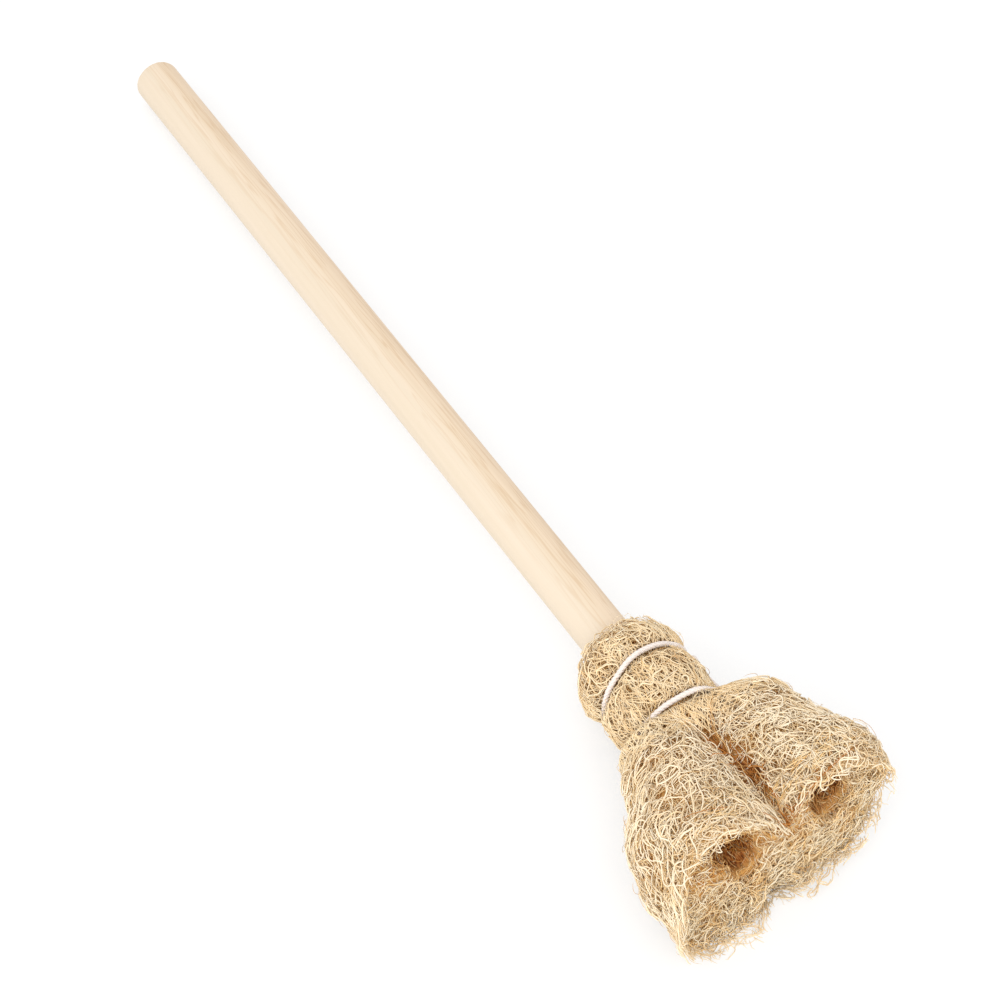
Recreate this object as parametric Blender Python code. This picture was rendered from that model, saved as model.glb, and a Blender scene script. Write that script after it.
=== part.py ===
"""Teapot spout brush: a wooden stick, a gathered piece of dried loofah, and the string that binds it.

The brush lies on a table, as it was photographed: it rests on the rim of the stick's sawn end and on the
flattened underside of the head. Every piece is modelled along the stick: x runs from the centre of the
sawn end towards the head, y across the brush and z up, away from the table. One empty then tilts the
brush on to the table and moves the origin to the middle of its footprint. Lengths are in metres.
"""
import math

import bmesh
import bpy
import numpy as np
from mathutils import Vector

MM = 0.001

# The stick
STICK_DIAMETER = 10.0 * MM
STICK_SHOWN = 205.5 * MM
STICK_SEATED = 36.0 * MM
STICK_EDGE = 0.4 * MM
STICK_CLEARANCE = 0.3 * MM

# The loofah's lengths along the stick, each from the one before, starting at the collar's top
COLLAR_HEIGHT = 9.2 * MM
BINDING_SPACING = 11.7 * MM
HEAD_LENGTH = 36.0 * MM

# The gathered loofah's radii round the stick, and how far it leans from the stick towards one angle
RIM_WALL = 3.6 * MM
COLLAR_RADIUS = 11.0 * MM
UPPER_WAIST_RADIUS = 10.5 * MM
NECK_RADIUS = 10.5 * MM
LOWER_WAIST_RADIUS = 9.9 * MM
CORE_RADIUS = 6.6 * MM
CREASE_RADIUS = 7.2 * MM
COLLAR_LEAN = -0.6 * MM
NECK_LEAN = 0.0 * MM
LEAN_ANGLE = math.radians(25)

# The head's two lobes and the fold under them: where each is centred, its half size, how far past the
# lower binding it reaches its full size, and the share of it that is lost again by the cut end
RIGHT_LOBE_ACROSS = 14.0 * MM
RIGHT_LOBE_UP = 1.5 * MM
RIGHT_LOBE_HALF_WIDTH = 12.8 * MM
RIGHT_LOBE_HALF_HEIGHT = 13.5 * MM
RIGHT_LOBE_SHOULDER = 33.0 * MM
RIGHT_LOBE_LOST_SHARE = 0.11
LEFT_LOBE_ACROSS = -11.4 * MM
LEFT_LOBE_UP = 0.0 * MM
LEFT_LOBE_HALF_WIDTH = 13.8 * MM
LEFT_LOBE_HALF_HEIGHT = 14.0 * MM
LEFT_LOBE_SHOULDER = 38.0 * MM
LEFT_LOBE_LOST_SHARE = 0.0
FOLD_DOWN = 5.0 * MM
FOLD_HALF_WIDTH = 15.0 * MM
FOLD_HALF_HEIGHT = 8.5 * MM
FOLD_SHOULDER = 28.0 * MM
FOLD_LOST_SHARE = 0.04
SWELL_POWER = 0.28
LOST_FROM_SHARE = 0.65
UNION_SHARPNESS = 8.0

# The cut end: how far it runs past its named place at equal steps round the stick, and its ripples
CUT_PROFILE = (
    -5.2 * MM, -1.6 * MM, -1.5 * MM, 1.0 * MM, 1.0 * MM, 2.0 * MM,
    7.4 * MM, 4.4 * MM, 4.0 * MM, -0.8 * MM, 1.6 * MM, -2.8 * MM,
)
CUT_RIPPLE = 0.4 * MM
CUT_RIPPLES = 9

# Seed chambers, open at the cut end: centre, half size and depth
CHAMBER_HALF_WIDTH = 4.6 * MM
CHAMBER_HALF_HEIGHT = 4.3 * MM
CHAMBER_DEPTH = 22.0 * MM
LEFT_CHAMBER_ACROSS = -9.5 * MM
RIGHT_CHAMBER_ACROSS = 11.5 * MM
CHAMBER_UP = 6.0 * MM
LOWER_CHAMBER_ACROSS = -2.0 * MM
LOWER_CHAMBER_DOWN = 6.6 * MM
LOWER_CHAMBER_HALF_WIDTH = 12.0 * MM
LOWER_CHAMBER_HALF_HEIGHT = 3.3 * MM
LOWER_CHAMBER_DEPTH = 17.0 * MM

# How deep the table flattens the head's underside
REST_FLAT = 0.5 * MM

# The string, and the groove that it draws into the loofah
STRING_DIAMETER = 1.05 * MM
STRING_CLEARANCE = 0.3 * MM
GROOVE_DEPTH = 2.0 * MM
GROOVE_HALF_WIDTH = 1.4 * MM
TURN_PITCH = 1.7 * MM
TAIL_LENGTH = 7.0 * MM
KNOT_LENGTH = 3.2 * MM
KNOT_WIDTH = 2.2 * MM
UPPER_KNOT_ANGLE = math.radians(-12)
STRAND_TOP_ANGLE = math.radians(24)
STRAND_END_ANGLE = math.radians(16)
LOWER_KNOT_ANGLE = math.radians(-12)
LEAST_STRING_GAP = 0.4 * MM

# How finely the surfaces are divided
STICK_SIDES = 40
EDGE_SEGMENTS = 2
ROUND_STEPS = 60
NECK_STEP = 1.3 * MM
GROOVE_RING_SHARES = (-1.4, -0.7, 0.0, 0.7, 1.4)
LEAST_RING_STEP = 0.3 * MM
HEAD_STEPS = 15
CHAMBER_SIDES = 16
CHAMBER_RINGS = 10
TURN_STEPS = 24
STRAND_STEPS = 6
TAIL_STEPS = 4
TUBE_RESOLUTION = 1
KNOT_SIDES = 12
KNOT_RINGS = 8
SECTION_TRIES = 9
GAP_PARTS = 8
WELD_SHARE = 0.001
SHARP_EDGE_ANGLE = math.radians(50)

# Lumps of the natural fibre: share of the radius, waves round, waves along the loofah, phase
LUMP_SHARES = (
    (0.018, 3, 2.2, 0.4),
    (0.014, 5, -3.1, 2.0),
    (0.010, 8, 4.3, 1.1),
)

# Colours and roughness
WOOD_COLOUR = (0.86, 0.70, 0.49)
WOOD_ROUGHNESS = 0.55
LOOFAH_COLOUR = (0.80, 0.60, 0.34)
LOOFAH_ROUGHNESS = 0.9
STRING_COLOUR = (0.90, 0.87, 0.83)
STRING_ROUGHNESS = 0.85

# Worked out from the sizes above
STICK_RADIUS = STICK_DIAMETER / 2
STRING_RADIUS = STRING_DIAMETER / 2
BORE_RADIUS = STICK_RADIUS + STICK_CLEARANCE
UPPER_BINDING = COLLAR_HEIGHT
LOWER_BINDING = UPPER_BINDING + BINDING_SPACING
CUT_END = LOWER_BINDING + HEAD_LENGTH


def eased(share):
    """A smooth step: 0 below share 0, 1 above share 1, level at both ends."""
    share = np.clip(share, 0.0, 1.0)
    return share * share * (3.0 - 2.0 * share)


def gathered(along):
    """The radius of the gathered loofah round the stick and how far it leans, at a place along it.

    Each stretch between two named radii follows a smooth step, so every one of them is a crest or a waist.
    """
    places = (
        (0.0, BORE_RADIUS + RIM_WALL, 0.0),
        (COLLAR_HEIGHT / 2, COLLAR_RADIUS, COLLAR_LEAN),
        (UPPER_BINDING, UPPER_WAIST_RADIUS, COLLAR_LEAN / 2),
        (UPPER_BINDING + BINDING_SPACING / 2, NECK_RADIUS, NECK_LEAN),
        (LOWER_BINDING, LOWER_WAIST_RADIUS, 0.0),
        (STICK_SEATED, CORE_RADIUS, 0.0),
        (CUT_END, CREASE_RADIUS, 0.0),
    )
    _, first_radius, first_lean = places[0]
    radius = np.full_like(along, first_radius)
    lean = np.full_like(along, first_lean)
    for here, there in zip(places, places[1:]):
        share = eased((along - here[0]) / (there[0] - here[0]))
        radius = radius + (there[1] - here[1]) * share
        lean = lean + (there[2] - here[2]) * share
    return radius, lean


def grooves(along):
    """How deep the string's two turns draw the surface in: a rounded dip at each binding."""
    depth = np.zeros_like(along)
    for binding in (UPPER_BINDING, LOWER_BINDING):
        depth = depth + GROOVE_DEPTH * np.exp(-(((along - binding) / GROOVE_HALF_WIDTH) ** 2))
    return depth


def reach_of_lobe(angle, across, up, half_width, half_height):
    """How far a ray from the axis runs before it leaves an ellipse, or nothing where it misses it."""
    ray_across, ray_up = np.cos(angle) / half_width, np.sin(angle) / half_height
    centre_across, centre_up = across / half_width, up / half_height
    square = ray_across**2 + ray_up**2
    middle = ray_across * centre_across + ray_up * centre_up
    rest = centre_across**2 + centre_up**2 - 1.0
    inside = np.maximum(middle**2 - square * rest, 0.0)
    return np.maximum(middle + np.sqrt(inside), 0.0) / square * (inside > 0.0)


def grown(along, shoulder, lost_share):
    """The share of its full size that a lobe has at a place along the loofah.

    It is a quarter of a sine wave from the string's last turn on, raised to a power to swell early, and
    falls again towards the cut end.
    """
    share = np.clip((along - LOWER_BINDING - TURN_PITCH / 2) / shoulder, 0.0, 1.0)
    past = (along - LOWER_BINDING) / HEAD_LENGTH - LOST_FROM_SHARE
    lost = lost_share * np.clip(past / (1.0 - LOST_FROM_SHARE), 0.0, 1.0) ** 2
    return np.sin(share * math.pi / 2) ** SWELL_POWER * (1.0 - lost)


def loofah_radius(angle, along):
    """The loofah's outer radius at an angle round the stick and a place along it.

    The gathered core and the head's lobes are joined by a power sum, which is close to the largest of them
    and rounds the creases between them.
    """
    core, lean = gathered(along)
    right = (RIGHT_LOBE_ACROSS, RIGHT_LOBE_UP, RIGHT_LOBE_HALF_WIDTH, RIGHT_LOBE_HALF_HEIGHT)
    left = (LEFT_LOBE_ACROSS, LEFT_LOBE_UP, LEFT_LOBE_HALF_WIDTH, LEFT_LOBE_HALF_HEIGHT)
    fold = (0.0, -FOLD_DOWN, FOLD_HALF_WIDTH, FOLD_HALF_HEIGHT)
    total = core**UNION_SHARPNESS
    for ellipse, shoulder, lost_share in (
        (right, RIGHT_LOBE_SHOULDER, RIGHT_LOBE_LOST_SHARE),
        (left, LEFT_LOBE_SHOULDER, LEFT_LOBE_LOST_SHARE),
        (fold, FOLD_SHOULDER, FOLD_LOST_SHARE),
    ):
        reach = reach_of_lobe(angle, *ellipse) * grown(along, shoulder, lost_share)
        total = total + reach**UNION_SHARPNESS
    radius = total ** (1.0 / UNION_SHARPNESS) + lean * np.cos(angle - LEAN_ANGLE)
    for share, round_waves, along_waves, phase in LUMP_SHARES:
        turn = round_waves * angle + math.tau * along_waves * along / CUT_END + phase
        radius = radius * (1.0 + share * np.sin(turn))
    return radius - grooves(along)


def cut_place(angle):
    """How far along the loofah its cut end lies: the profile, eased from each of its steps to the next."""
    profile = np.array(CUT_PROFILE)
    turn = angle / math.tau % 1.0 * len(profile)
    before = np.floor(turn).astype(int)
    here, there = profile[before % len(profile)], profile[(before + 1) % len(profile)]
    return CUT_END + here + (there - here) * eased(turn - before) + CUT_RIPPLE * np.sin(CUT_RIPPLES * angle)


def on_ray(angle, along, radius):
    """Points at an angle round the stick, a place along the loofah and a distance from the axis."""
    return np.stack([STICK_SHOWN + along, radius * np.cos(angle), radius * np.sin(angle)], axis=-1)


def loofah_rings():
    """The loofah's outer surface as rings of points: the collar and neck, then the head to its cut end."""
    angle = np.arange(ROUND_STEPS) * math.tau / ROUND_STEPS
    steps = round(LOWER_BINDING / NECK_STEP)
    alongs = list(np.linspace(0.0, LOWER_BINDING, steps + 1))
    for binding in (UPPER_BINDING, LOWER_BINDING):
        alongs += [binding + share * GROOVE_HALF_WIDTH for share in GROOVE_RING_SHARES]
    alongs = sorted(alongs)
    alongs = [a for a, b in zip(alongs, alongs[1:] + [math.inf]) if b - a > LEAST_RING_STEP]
    places = [np.full_like(angle, along) for along in alongs]
    for share in np.arange(1, HEAD_STEPS + 1) / HEAD_STEPS:
        places.append(alongs[-1] + share * (cut_place(angle) - alongs[-1]))
    return np.array([on_ray(angle, along, loofah_radius(angle, along)) for along in places])


def table_tilt():
    """The brush's slope on the table, which touches the stick's rim and presses into the head's underside."""
    rings = loofah_rings()
    below = -rings[..., 2] - STICK_RADIUS - REST_FLAT
    return float(np.arctan2(below, rings[..., 0] - STICK_EDGE).max())


def lifted_to_table(points):
    """Moves the points that would lie under the table straight up to it."""
    tilt = table_tilt()
    up = np.array([math.sin(tilt), 0.0, math.cos(tilt)])
    rim = np.array([STICK_EDGE, 0.0, -STICK_RADIUS])
    depth = np.maximum((rim - points) @ up, 0.0)
    return points + depth[..., None] * up


def material(name, colour, roughness):
    """A plain Principled material."""
    made = bpy.data.materials.new(name)
    made.use_nodes = True
    shader = made.node_tree.nodes["Principled BSDF"]
    shader.inputs["Base Color"].default_value = (*colour, 1.0)
    shader.inputs["Roughness"].default_value = roughness
    shader.inputs["Metallic"].default_value = 0.0
    return made


def add_object(name, mesh, rest, surface=None):
    """Puts a mesh into the scene under a name, parented to the empty that lays the brush down."""
    made = bpy.data.objects.new(name, mesh)
    bpy.context.scene.collection.objects.link(made)
    made.parent = rest
    if surface:
        mesh.materials.append(surface)
    return made


def add_boolean(name, mesh, rest, target, operation):
    """A hidden solid that is cut out of the target or joined to it."""
    solid = add_object(name, mesh, rest)
    solid.hide_render = True
    solid.display_type = "WIRE"
    made = target.modifiers.new(name, "BOOLEAN")
    made.operation = operation
    made.solver = "EXACT"
    made.object = solid


def turn_outwards(shape):
    """Makes the faces agree, then turns them all if the closed shape is inside out."""
    bmesh.ops.recalc_face_normals(shape, faces=shape.faces)
    if shape.calc_volume(signed=True) < 0.0:
        bmesh.ops.reverse_faces(shape, faces=shape.faces)


def mesh_from(name, build, *sizes):
    """A mesh that the given function fills in a bmesh, with its faces turned outwards."""
    shape = bmesh.new()
    build(shape, *sizes)
    turn_outwards(shape)
    mesh = bpy.data.meshes.new(name)
    shape.to_mesh(mesh)
    shape.free()
    return mesh


def shade(mesh):
    """Smooth shading, kept sharp at the true edges."""
    mesh.shade_smooth()
    mesh.set_sharp_from_angle(angle=SHARP_EDGE_ANGLE)


def rod(shape, start, end, radius):
    """A closed round rod along x from start to end."""
    ring = bmesh.ops.create_circle(shape, cap_ends=True, radius=radius, segments=STICK_SIDES)["verts"]
    for vert in ring:
        vert.co = Vector((start, vert.co.x, vert.co.y))
    for item in bmesh.ops.extrude_face_region(shape, geom=shape.faces[:])["geom"]:
        if isinstance(item, bmesh.types.BMVert):
            item.co.x = end


def make_handle(rest):
    """The stick, from its sawn end to its blind end inside the loofah, with its edges eased."""
    mesh = mesh_from("handle", rod, 0.0, STICK_SHOWN + STICK_SEATED, STICK_RADIUS)
    handle = add_object("handle", mesh, rest, material("pale_wood", WOOD_COLOUR, WOOD_ROUGHNESS))
    bevel = handle.modifiers.new("eased_edges", "BEVEL")
    bevel.width = STICK_EDGE
    bevel.segments = EDGE_SEGMENTS
    bevel.limit_method = "ANGLE"
    bevel.angle_limit = SHARP_EDGE_ANGLE
    shade(mesh)
    return handle


def loofah_skin(shape):
    """Joins the rings and closes both ends, each with a fan of faces round its middle."""
    rings = [[shape.verts.new(point) for point in ring] for ring in lifted_to_table(loofah_rings())]
    for here, there in zip(rings, rings[1:]):
        for i in range(ROUND_STEPS):
            j = (i + 1) % ROUND_STEPS
            shape.faces.new((here[i], here[j], there[j], there[i]))
    for ring in (rings[0], rings[-1]):
        middle = shape.verts.new(sum((vert.co for vert in ring), Vector()) / ROUND_STEPS)
        for i in range(ROUND_STEPS):
            shape.faces.new((ring[i], ring[(i + 1) % ROUND_STEPS], middle))


def chamber(shape, across, up, half_width, half_height, depth):
    """Half of a long ellipsoid inside the head, widest at the cut end, and the other half outside it."""
    bmesh.ops.create_uvsphere(shape, u_segments=CHAMBER_SIDES, v_segments=CHAMBER_RINGS, radius=1.0)
    for vert in shape.verts:
        x, y, z = vert.co.z * depth, vert.co.x * half_width, vert.co.y * half_height
        vert.co = Vector((STICK_SHOWN + CUT_END + x, across + y, up + z))


def make_loofah(rest):
    """The loofah: its gathered skin, the bore that takes the stick and the three seed chambers."""
    mesh = mesh_from("loofah", loofah_skin)
    loofah = add_object("loofah", mesh, rest, material("dried_loofah", LOOFAH_COLOUR, LOOFAH_ROUGHNESS))
    bore_end = STICK_SHOWN + STICK_SEATED + STICK_CLEARANCE
    bore = mesh_from("stick_bore", rod, STICK_SHOWN - COLLAR_HEIGHT, bore_end, BORE_RADIUS)
    add_boolean("stick_bore", bore, rest, loofah, "DIFFERENCE")
    upper = (CHAMBER_UP, CHAMBER_HALF_WIDTH, CHAMBER_HALF_HEIGHT, CHAMBER_DEPTH)
    lower_half = (LOWER_CHAMBER_HALF_WIDTH, LOWER_CHAMBER_HALF_HEIGHT)
    lower = (-LOWER_CHAMBER_DOWN, *lower_half, LOWER_CHAMBER_DEPTH)
    for name, across, sizes in (
        ("left_chamber", LEFT_CHAMBER_ACROSS, upper),
        ("right_chamber", RIGHT_CHAMBER_ACROSS, upper),
        ("lower_chamber", LOWER_CHAMBER_ACROSS, lower),
    ):
        add_boolean(name, mesh_from(name, chamber, across, *sizes), rest, loofah, "DIFFERENCE")
    shade(mesh)
    return loofah


def height_over(angle, along, half_length, half_thickness):
    """How far from the axis the centre of a rounded piece lies when its clearance just clears the loofah.

    The piece's section along the stick is an ellipse, which is tried at several places across its length.
    """
    shares = np.linspace(-1.0, 1.0, SECTION_TRIES)
    under = loofah_radius(np.full_like(shares, angle), along + shares * half_length)
    return float((under + half_thickness * np.sqrt(1.0 - shares**2)).max()) + STRING_CLEARANCE


def string_run(start_angle, end_angle, start, end, steps):
    """Points of the string's middle line, where it lies on the loofah, between two angles and two places."""
    run = []
    for share in np.linspace(0.0, 1.0, steps + 1):
        angle = start_angle + share * (end_angle - start_angle)
        along = start + share * (end - start)
        run.append(on_ray(angle, along, height_over(angle, along, STRING_RADIUS, STRING_RADIUS)))
    return run


def string_line():
    """The string's middle line: a tail, the upper turn, the strand down the side, the lower turn, a tail.

    The upper turn winds on past its own start to the top of the strand. Both tails lie on the far side,
    each on the side of its turn that is nearer the collar.
    """
    upper_start, upper_end = UPPER_BINDING - TURN_PITCH / 2, UPPER_BINDING + TURN_PITCH / 2
    lower_start, lower_end = LOWER_BINDING - TURN_PITCH / 2, LOWER_BINDING + TURN_PITCH / 2
    upper_knot, lower_knot = UPPER_KNOT_ANGLE, LOWER_KNOT_ANGLE + math.tau
    strand_top, strand_end = STRAND_TOP_ANGLE + math.tau, STRAND_END_ANGLE + math.tau
    runs = (
        string_run(upper_knot, upper_knot, upper_start - TAIL_LENGTH, upper_start, TAIL_STEPS),
        string_run(upper_knot, strand_top, upper_start, upper_end, TURN_STEPS),
        string_run(strand_top, strand_end, upper_end, lower_start, STRAND_STEPS),
        string_run(STRAND_END_ANGLE, lower_knot, lower_start, lower_end, TURN_STEPS),
        string_run(lower_knot, lower_knot, lower_end, lower_end - TAIL_LENGTH, TAIL_STEPS),
    )
    line = runs[0][:1]
    for run in runs:
        line += run[1:]
    return np.array(line)


def least_gap(line, knots):
    """The least gap between two stretches of the string that lie apart along it, outside its knots."""
    shares = np.arange(GAP_PARTS) / GAP_PARTS
    dense = np.concatenate([a + shares[:, None] * (b - a) for a, b in zip(line, line[1:])])
    run = np.concatenate([[0.0], np.cumsum(np.linalg.norm(np.diff(dense, axis=0), axis=1))])
    free = np.all([np.linalg.norm(dense - knot, axis=1) > KNOT_LENGTH / 2 for knot in knots], axis=0)
    dense, run = dense[free], run[free]
    between = np.linalg.norm(dense[:, None] - dense[None, :], axis=2)
    between[np.abs(run[:, None] - run[None, :]) < TAIL_LENGTH / 2] = math.inf
    return float(between.min()) - STRING_DIAMETER


def tube_mesh(name, line, radius):
    """A closed tube along the points, made by a curve with filled ends."""
    curve = bpy.data.curves.new(name, "CURVE")
    curve.dimensions = "3D"
    curve.bevel_depth = radius
    curve.bevel_resolution = TUBE_RESOLUTION
    curve.use_fill_caps = True
    spline = curve.splines.new("POLY")
    spline.points.add(len(line) - 1)
    for point, place in zip(spline.points, line):
        point.co = (*place, 1.0)
    holder = bpy.data.objects.new(name, curve)
    made = bpy.data.meshes.new_from_object(holder)
    bpy.data.objects.remove(holder)
    shape = bmesh.new()
    shape.from_mesh(made)
    bmesh.ops.remove_doubles(shape, verts=shape.verts, dist=radius * WELD_SHARE)
    turn_outwards(shape)
    shape.to_mesh(made)
    shape.free()
    return made


def knot(shape, centre, angle):
    """A knot: a rounded lump, longest along the stick and turned to face away from it."""
    bmesh.ops.create_uvsphere(shape, u_segments=KNOT_SIDES, v_segments=KNOT_RINGS, radius=1.0)
    cosine, sine = math.cos(angle), math.sin(angle)
    for vert in shape.verts:
        x, y, z = vert.co.z * KNOT_LENGTH / 2, vert.co.x * KNOT_WIDTH / 2, vert.co.y * KNOT_WIDTH / 2
        vert.co = Vector(centre) + Vector((x, y * cosine - z * sine, y * sine + z * cosine))


def make_tie_string(rest):
    """The string: one unbroken tube with its two knots joined to it."""
    line = string_line()
    knots = (
        ("upper_knot", UPPER_KNOT_ANGLE, UPPER_BINDING),
        ("lower_knot", LOWER_KNOT_ANGLE, LOWER_BINDING),
    )
    centres = []
    for _, angle, along in knots:
        centres.append(on_ray(angle, along, height_over(angle, along, KNOT_LENGTH / 2, KNOT_WIDTH / 2)))
    gap = least_gap(line, centres)
    print(f"least gap between the string's turns: {gap / MM:.2f} mm, wanted {LEAST_STRING_GAP / MM:.2f} mm")
    mesh = tube_mesh("tie_string", line, STRING_RADIUS)
    cotton = material("white_cotton", STRING_COLOUR, STRING_ROUGHNESS)
    tie_string = add_object("tie_string", mesh, rest, cotton)
    for (name, angle, _), centre in zip(knots, centres):
        add_boolean(name, mesh_from(name, knot, centre, angle), rest, tie_string, "UNION")
    shade(mesh)
    return tie_string


def lay_down(rest, pieces):
    """Tilts the brush on to the table and moves the origin to the middle of its footprint."""
    rest.rotation_euler = (0.0, -table_tilt(), 0.0)
    bpy.context.view_layer.update()
    graph = bpy.context.evaluated_depsgraph_get()
    corners = []
    for piece in pieces:
        shown = piece.evaluated_get(graph)
        corners += [shown.matrix_world @ vert.co for vert in shown.data.vertices]
    places = np.array(corners)
    low, high = places.min(axis=0), places.max(axis=0)
    rest.location = (-(low[0] + high[0]) / 2, -(low[1] + high[1]) / 2, -low[2])
    bpy.context.view_layer.update()


def main():
    for old in list(bpy.data.objects):
        bpy.data.objects.remove(old)
    rest = bpy.data.objects.new("brush_rest", None)
    bpy.context.scene.collection.objects.link(rest)
    pieces = [make_handle(rest), make_loofah(rest), make_tie_string(rest)]
    lay_down(rest, pieces)


main()
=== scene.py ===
"""Teapot spout brush: the finished look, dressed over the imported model.

A wooden stick, a head of dried loofah modelled fibre by fibre, and the plied cotton string that binds it.
Shapes are worked out in the stick's own frame: x from the centre of its sawn end towards the head, y across
and z up. An angle round the stick runs from +y towards +z, and `along` is measured from the loofah's rim
towards its cut end. on_table() then lays the points on the table. Lengths are in metres.
"""
import math

import bpy
import numpy as np
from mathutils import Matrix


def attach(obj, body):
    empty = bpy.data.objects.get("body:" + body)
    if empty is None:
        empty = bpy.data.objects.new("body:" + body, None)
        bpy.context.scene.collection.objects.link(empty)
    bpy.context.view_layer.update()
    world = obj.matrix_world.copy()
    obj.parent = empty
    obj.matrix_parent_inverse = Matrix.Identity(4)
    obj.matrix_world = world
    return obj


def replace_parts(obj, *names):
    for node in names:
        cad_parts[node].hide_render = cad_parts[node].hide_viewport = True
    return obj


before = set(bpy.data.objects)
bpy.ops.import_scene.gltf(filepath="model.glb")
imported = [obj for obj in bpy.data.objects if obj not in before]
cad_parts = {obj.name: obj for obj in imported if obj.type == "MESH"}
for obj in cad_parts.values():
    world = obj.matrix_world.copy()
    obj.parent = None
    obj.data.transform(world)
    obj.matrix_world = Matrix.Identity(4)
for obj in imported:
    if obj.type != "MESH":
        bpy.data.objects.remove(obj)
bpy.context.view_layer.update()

MM = 0.001

# How the brush lies: its slope on the table and the centre of the stick's sawn end
TABLE_SLOPE = math.radians(1.96956)
SAWN_END = (-0.134741, -0.000129, 0.004983)

# The stick. Its side turned from the lamp is painted warmer and brighter, painted light that evens out its
# shade, and faces the angle given below. Its ridges: height in millimetres, number, phase and turn along
STICK_RADIUS = 5.0 * MM
STICK_SHOWN = 205.5 * MM
STICK_SEATED = 36.0 * MM
STICK_EDGE = 0.4 * MM
STICK_SIDES = 180
STICK_RINGS = 90
RIDGES = ((0.022, 5, 0.3, 2.0), (0.012, 17, 1.9, 3.0), (0.009, 41, 0.7, 1.0))
RIDGE_SETBACK = 0.02 * MM
SHADED_SIDE_ANGLE = math.radians(25)

# The loofah's lengths along the stick, from its rim
COLLAR_HEIGHT = 9.2 * MM
BINDING_SPACING = 11.7 * MM
HEAD_LENGTH = 36.0 * MM
UPPER_BINDING = COLLAR_HEIGHT
LOWER_BINDING = UPPER_BINDING + BINDING_SPACING
CUT_END = LOWER_BINDING + HEAD_LENGTH

# The gathered loofah's radii round the stick
RIM_RADIUS = 8.9 * MM
COLLAR_RADIUS = 11.0 * MM
UPPER_WAIST_RADIUS = 10.5 * MM
NECK_RADIUS = 10.5 * MM
LOWER_WAIST_RADIUS = 9.9 * MM
CORE_RADIUS = 6.6 * MM
CREASE_RADIUS = 7.2 * MM
COLLAR_LEAN = -0.6 * MM
LEAN_ANGLE = math.radians(25)

# The head's lobes and the fold under them: across, up, half width, half height, the length of the swell
# and the share that is lost again at the cut end
RIGHT_LOBE = (14.0 * MM, 1.5 * MM, 12.8 * MM, 13.5 * MM, 33.0 * MM, 0.11)
LEFT_LOBE = (-11.4 * MM, 0.0, 13.8 * MM, 14.0 * MM, 38.0 * MM, 0.0)
UNDER_FOLD = (0.0, -5.0 * MM, 15.0 * MM, 8.5 * MM, 28.0 * MM, 0.04)
SWELL_POWER = 0.28
LOST_FROM_SHARE = 0.65
UNION_SHARPNESS = 8.0
CUT_PROFILE = np.array([-4.4, -1.6, -1.5, 1.0, 1.0, 2.0, 7.4, 4.8, 4.2, -0.8, 2.4, -1.7]) * MM
CUT_RIPPLE = 0.4 * MM
CUT_RIPPLES = 9
# Lumps of the skin: share of the radius, waves round, waves along and phase
LUMPS = ((0.018, 3, 2.2, 0.4), (0.014, 5, -3.1, 2.0), (0.010, 8, 4.3, 1.1))
# Fibres puff out round the lower binding, at the lobes' sides
OVERHANG = 2.6 * MM
OVERHANG_PLACE = 2.2 * MM
OVERHANG_LENGTH = 1.3 * MM
RIM_ROLL = 0.9 * MM
RIM_INNER_RADIUS = 1.03 * STICK_RADIUS

# Where loose fibre stands a little out or in: how far, the angle, the place along and the length
PUFFS = (
    (2.4 * MM, math.radians(22), 25.6 * MM, 3.2 * MM),
    (-1.8 * MM, math.radians(185), 32.0 * MM, 8.0 * MM),
)

# Seed chambers, open at the cut end: across, up, half width, half height, depth
CHAMBERS = (
    (-9.5 * MM, 6.0 * MM, 4.6 * MM, 4.3 * MM, 22.0 * MM),
    (11.5 * MM, 6.0 * MM, 4.6 * MM, 4.3 * MM, 22.0 * MM),
    (-2.0 * MM, -6.6 * MM, 12.0 * MM, 3.3 * MM, 17.0 * MM),
)
LOWER_CHAMBER = CHAMBERS[2]
# Torn fibre makes the two upper mouths deeper than their chambers
TORN_MOUTHS = (
    (-7.6 * MM, 2.4 * MM, 3.2 * MM, 4.0 * MM, 13.0 * MM),
    (11.4 * MM, 4.2 * MM, 2.8 * MM, 2.8 * MM, 12.0 * MM),
)
HOLLOWS = CHAMBERS + TORN_MOUTHS
# How much of each hollow's size its mouth has, where loose fibre narrows it, and how deep that goes
MOUTH_SHARES = (0.78, 0.62, 1.0, 1.0, 1.0)
MOUTH_DEPTH = 6.0 * MM
MOUTH_RAGGED = (0.78, 1.1)
# Fibres that line a hollow: their lengths and thickness, how rough they lie, how far they keep inside the
# skin, how raggedly they end, and the share of every hollow's size that they keep out of
LINING_LENGTHS = (4.0 * MM, 13.0 * MM)
LINING_THICKNESS = 0.1 * MM
LINING_ROUGH = 0.35 * MM
LINING_WAVE = 0.15 * MM
LINING_SKIN = 0.4 * MM
LINING_ENDS = 0.6 * MM
LINING_CLEAR = 0.7
# A loose web of fibre closes the lower chamber's mouth, this deep, and its lining starts further back
WEB_DEPTH = 4.0 * MM
WEB_LINING_BACK = 3.0 * MM

# Where painted shade makes the inner fibre browner, and how much: the hollows, then patches of the cut end
# that paint the shade of pits, all as across, up, half width and half height
PIT_SHADE_PATCHES = (
    (-14.8 * MM, -5.2 * MM, 2.0 * MM, 5.0 * MM),
    (-4.6 * MM, -5.0 * MM, 2.8 * MM, 3.4 * MM),
    (15.8 * MM, -1.5 * MM, 2.6 * MM, 3.6 * MM),
    (6.5 * MM, -6.0 * MM, 3.4 * MM, 2.0 * MM),
    (4.0 * MM, 2.0 * MM, 2.2 * MM, 3.0 * MM),
)
INNER_SHADE_PLACES = (
    (TORN_MOUTHS[0][:4], 1.0), (CHAMBERS[0][:4], 0.8), (CHAMBERS[1][:4], 0.5), (TORN_MOUTHS[1][:4], 0.5),
    *((patch, 0.42) for patch in PIT_SHADE_PATCHES),
)
INNER_SHADE_LOSS = 0.7

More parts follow.
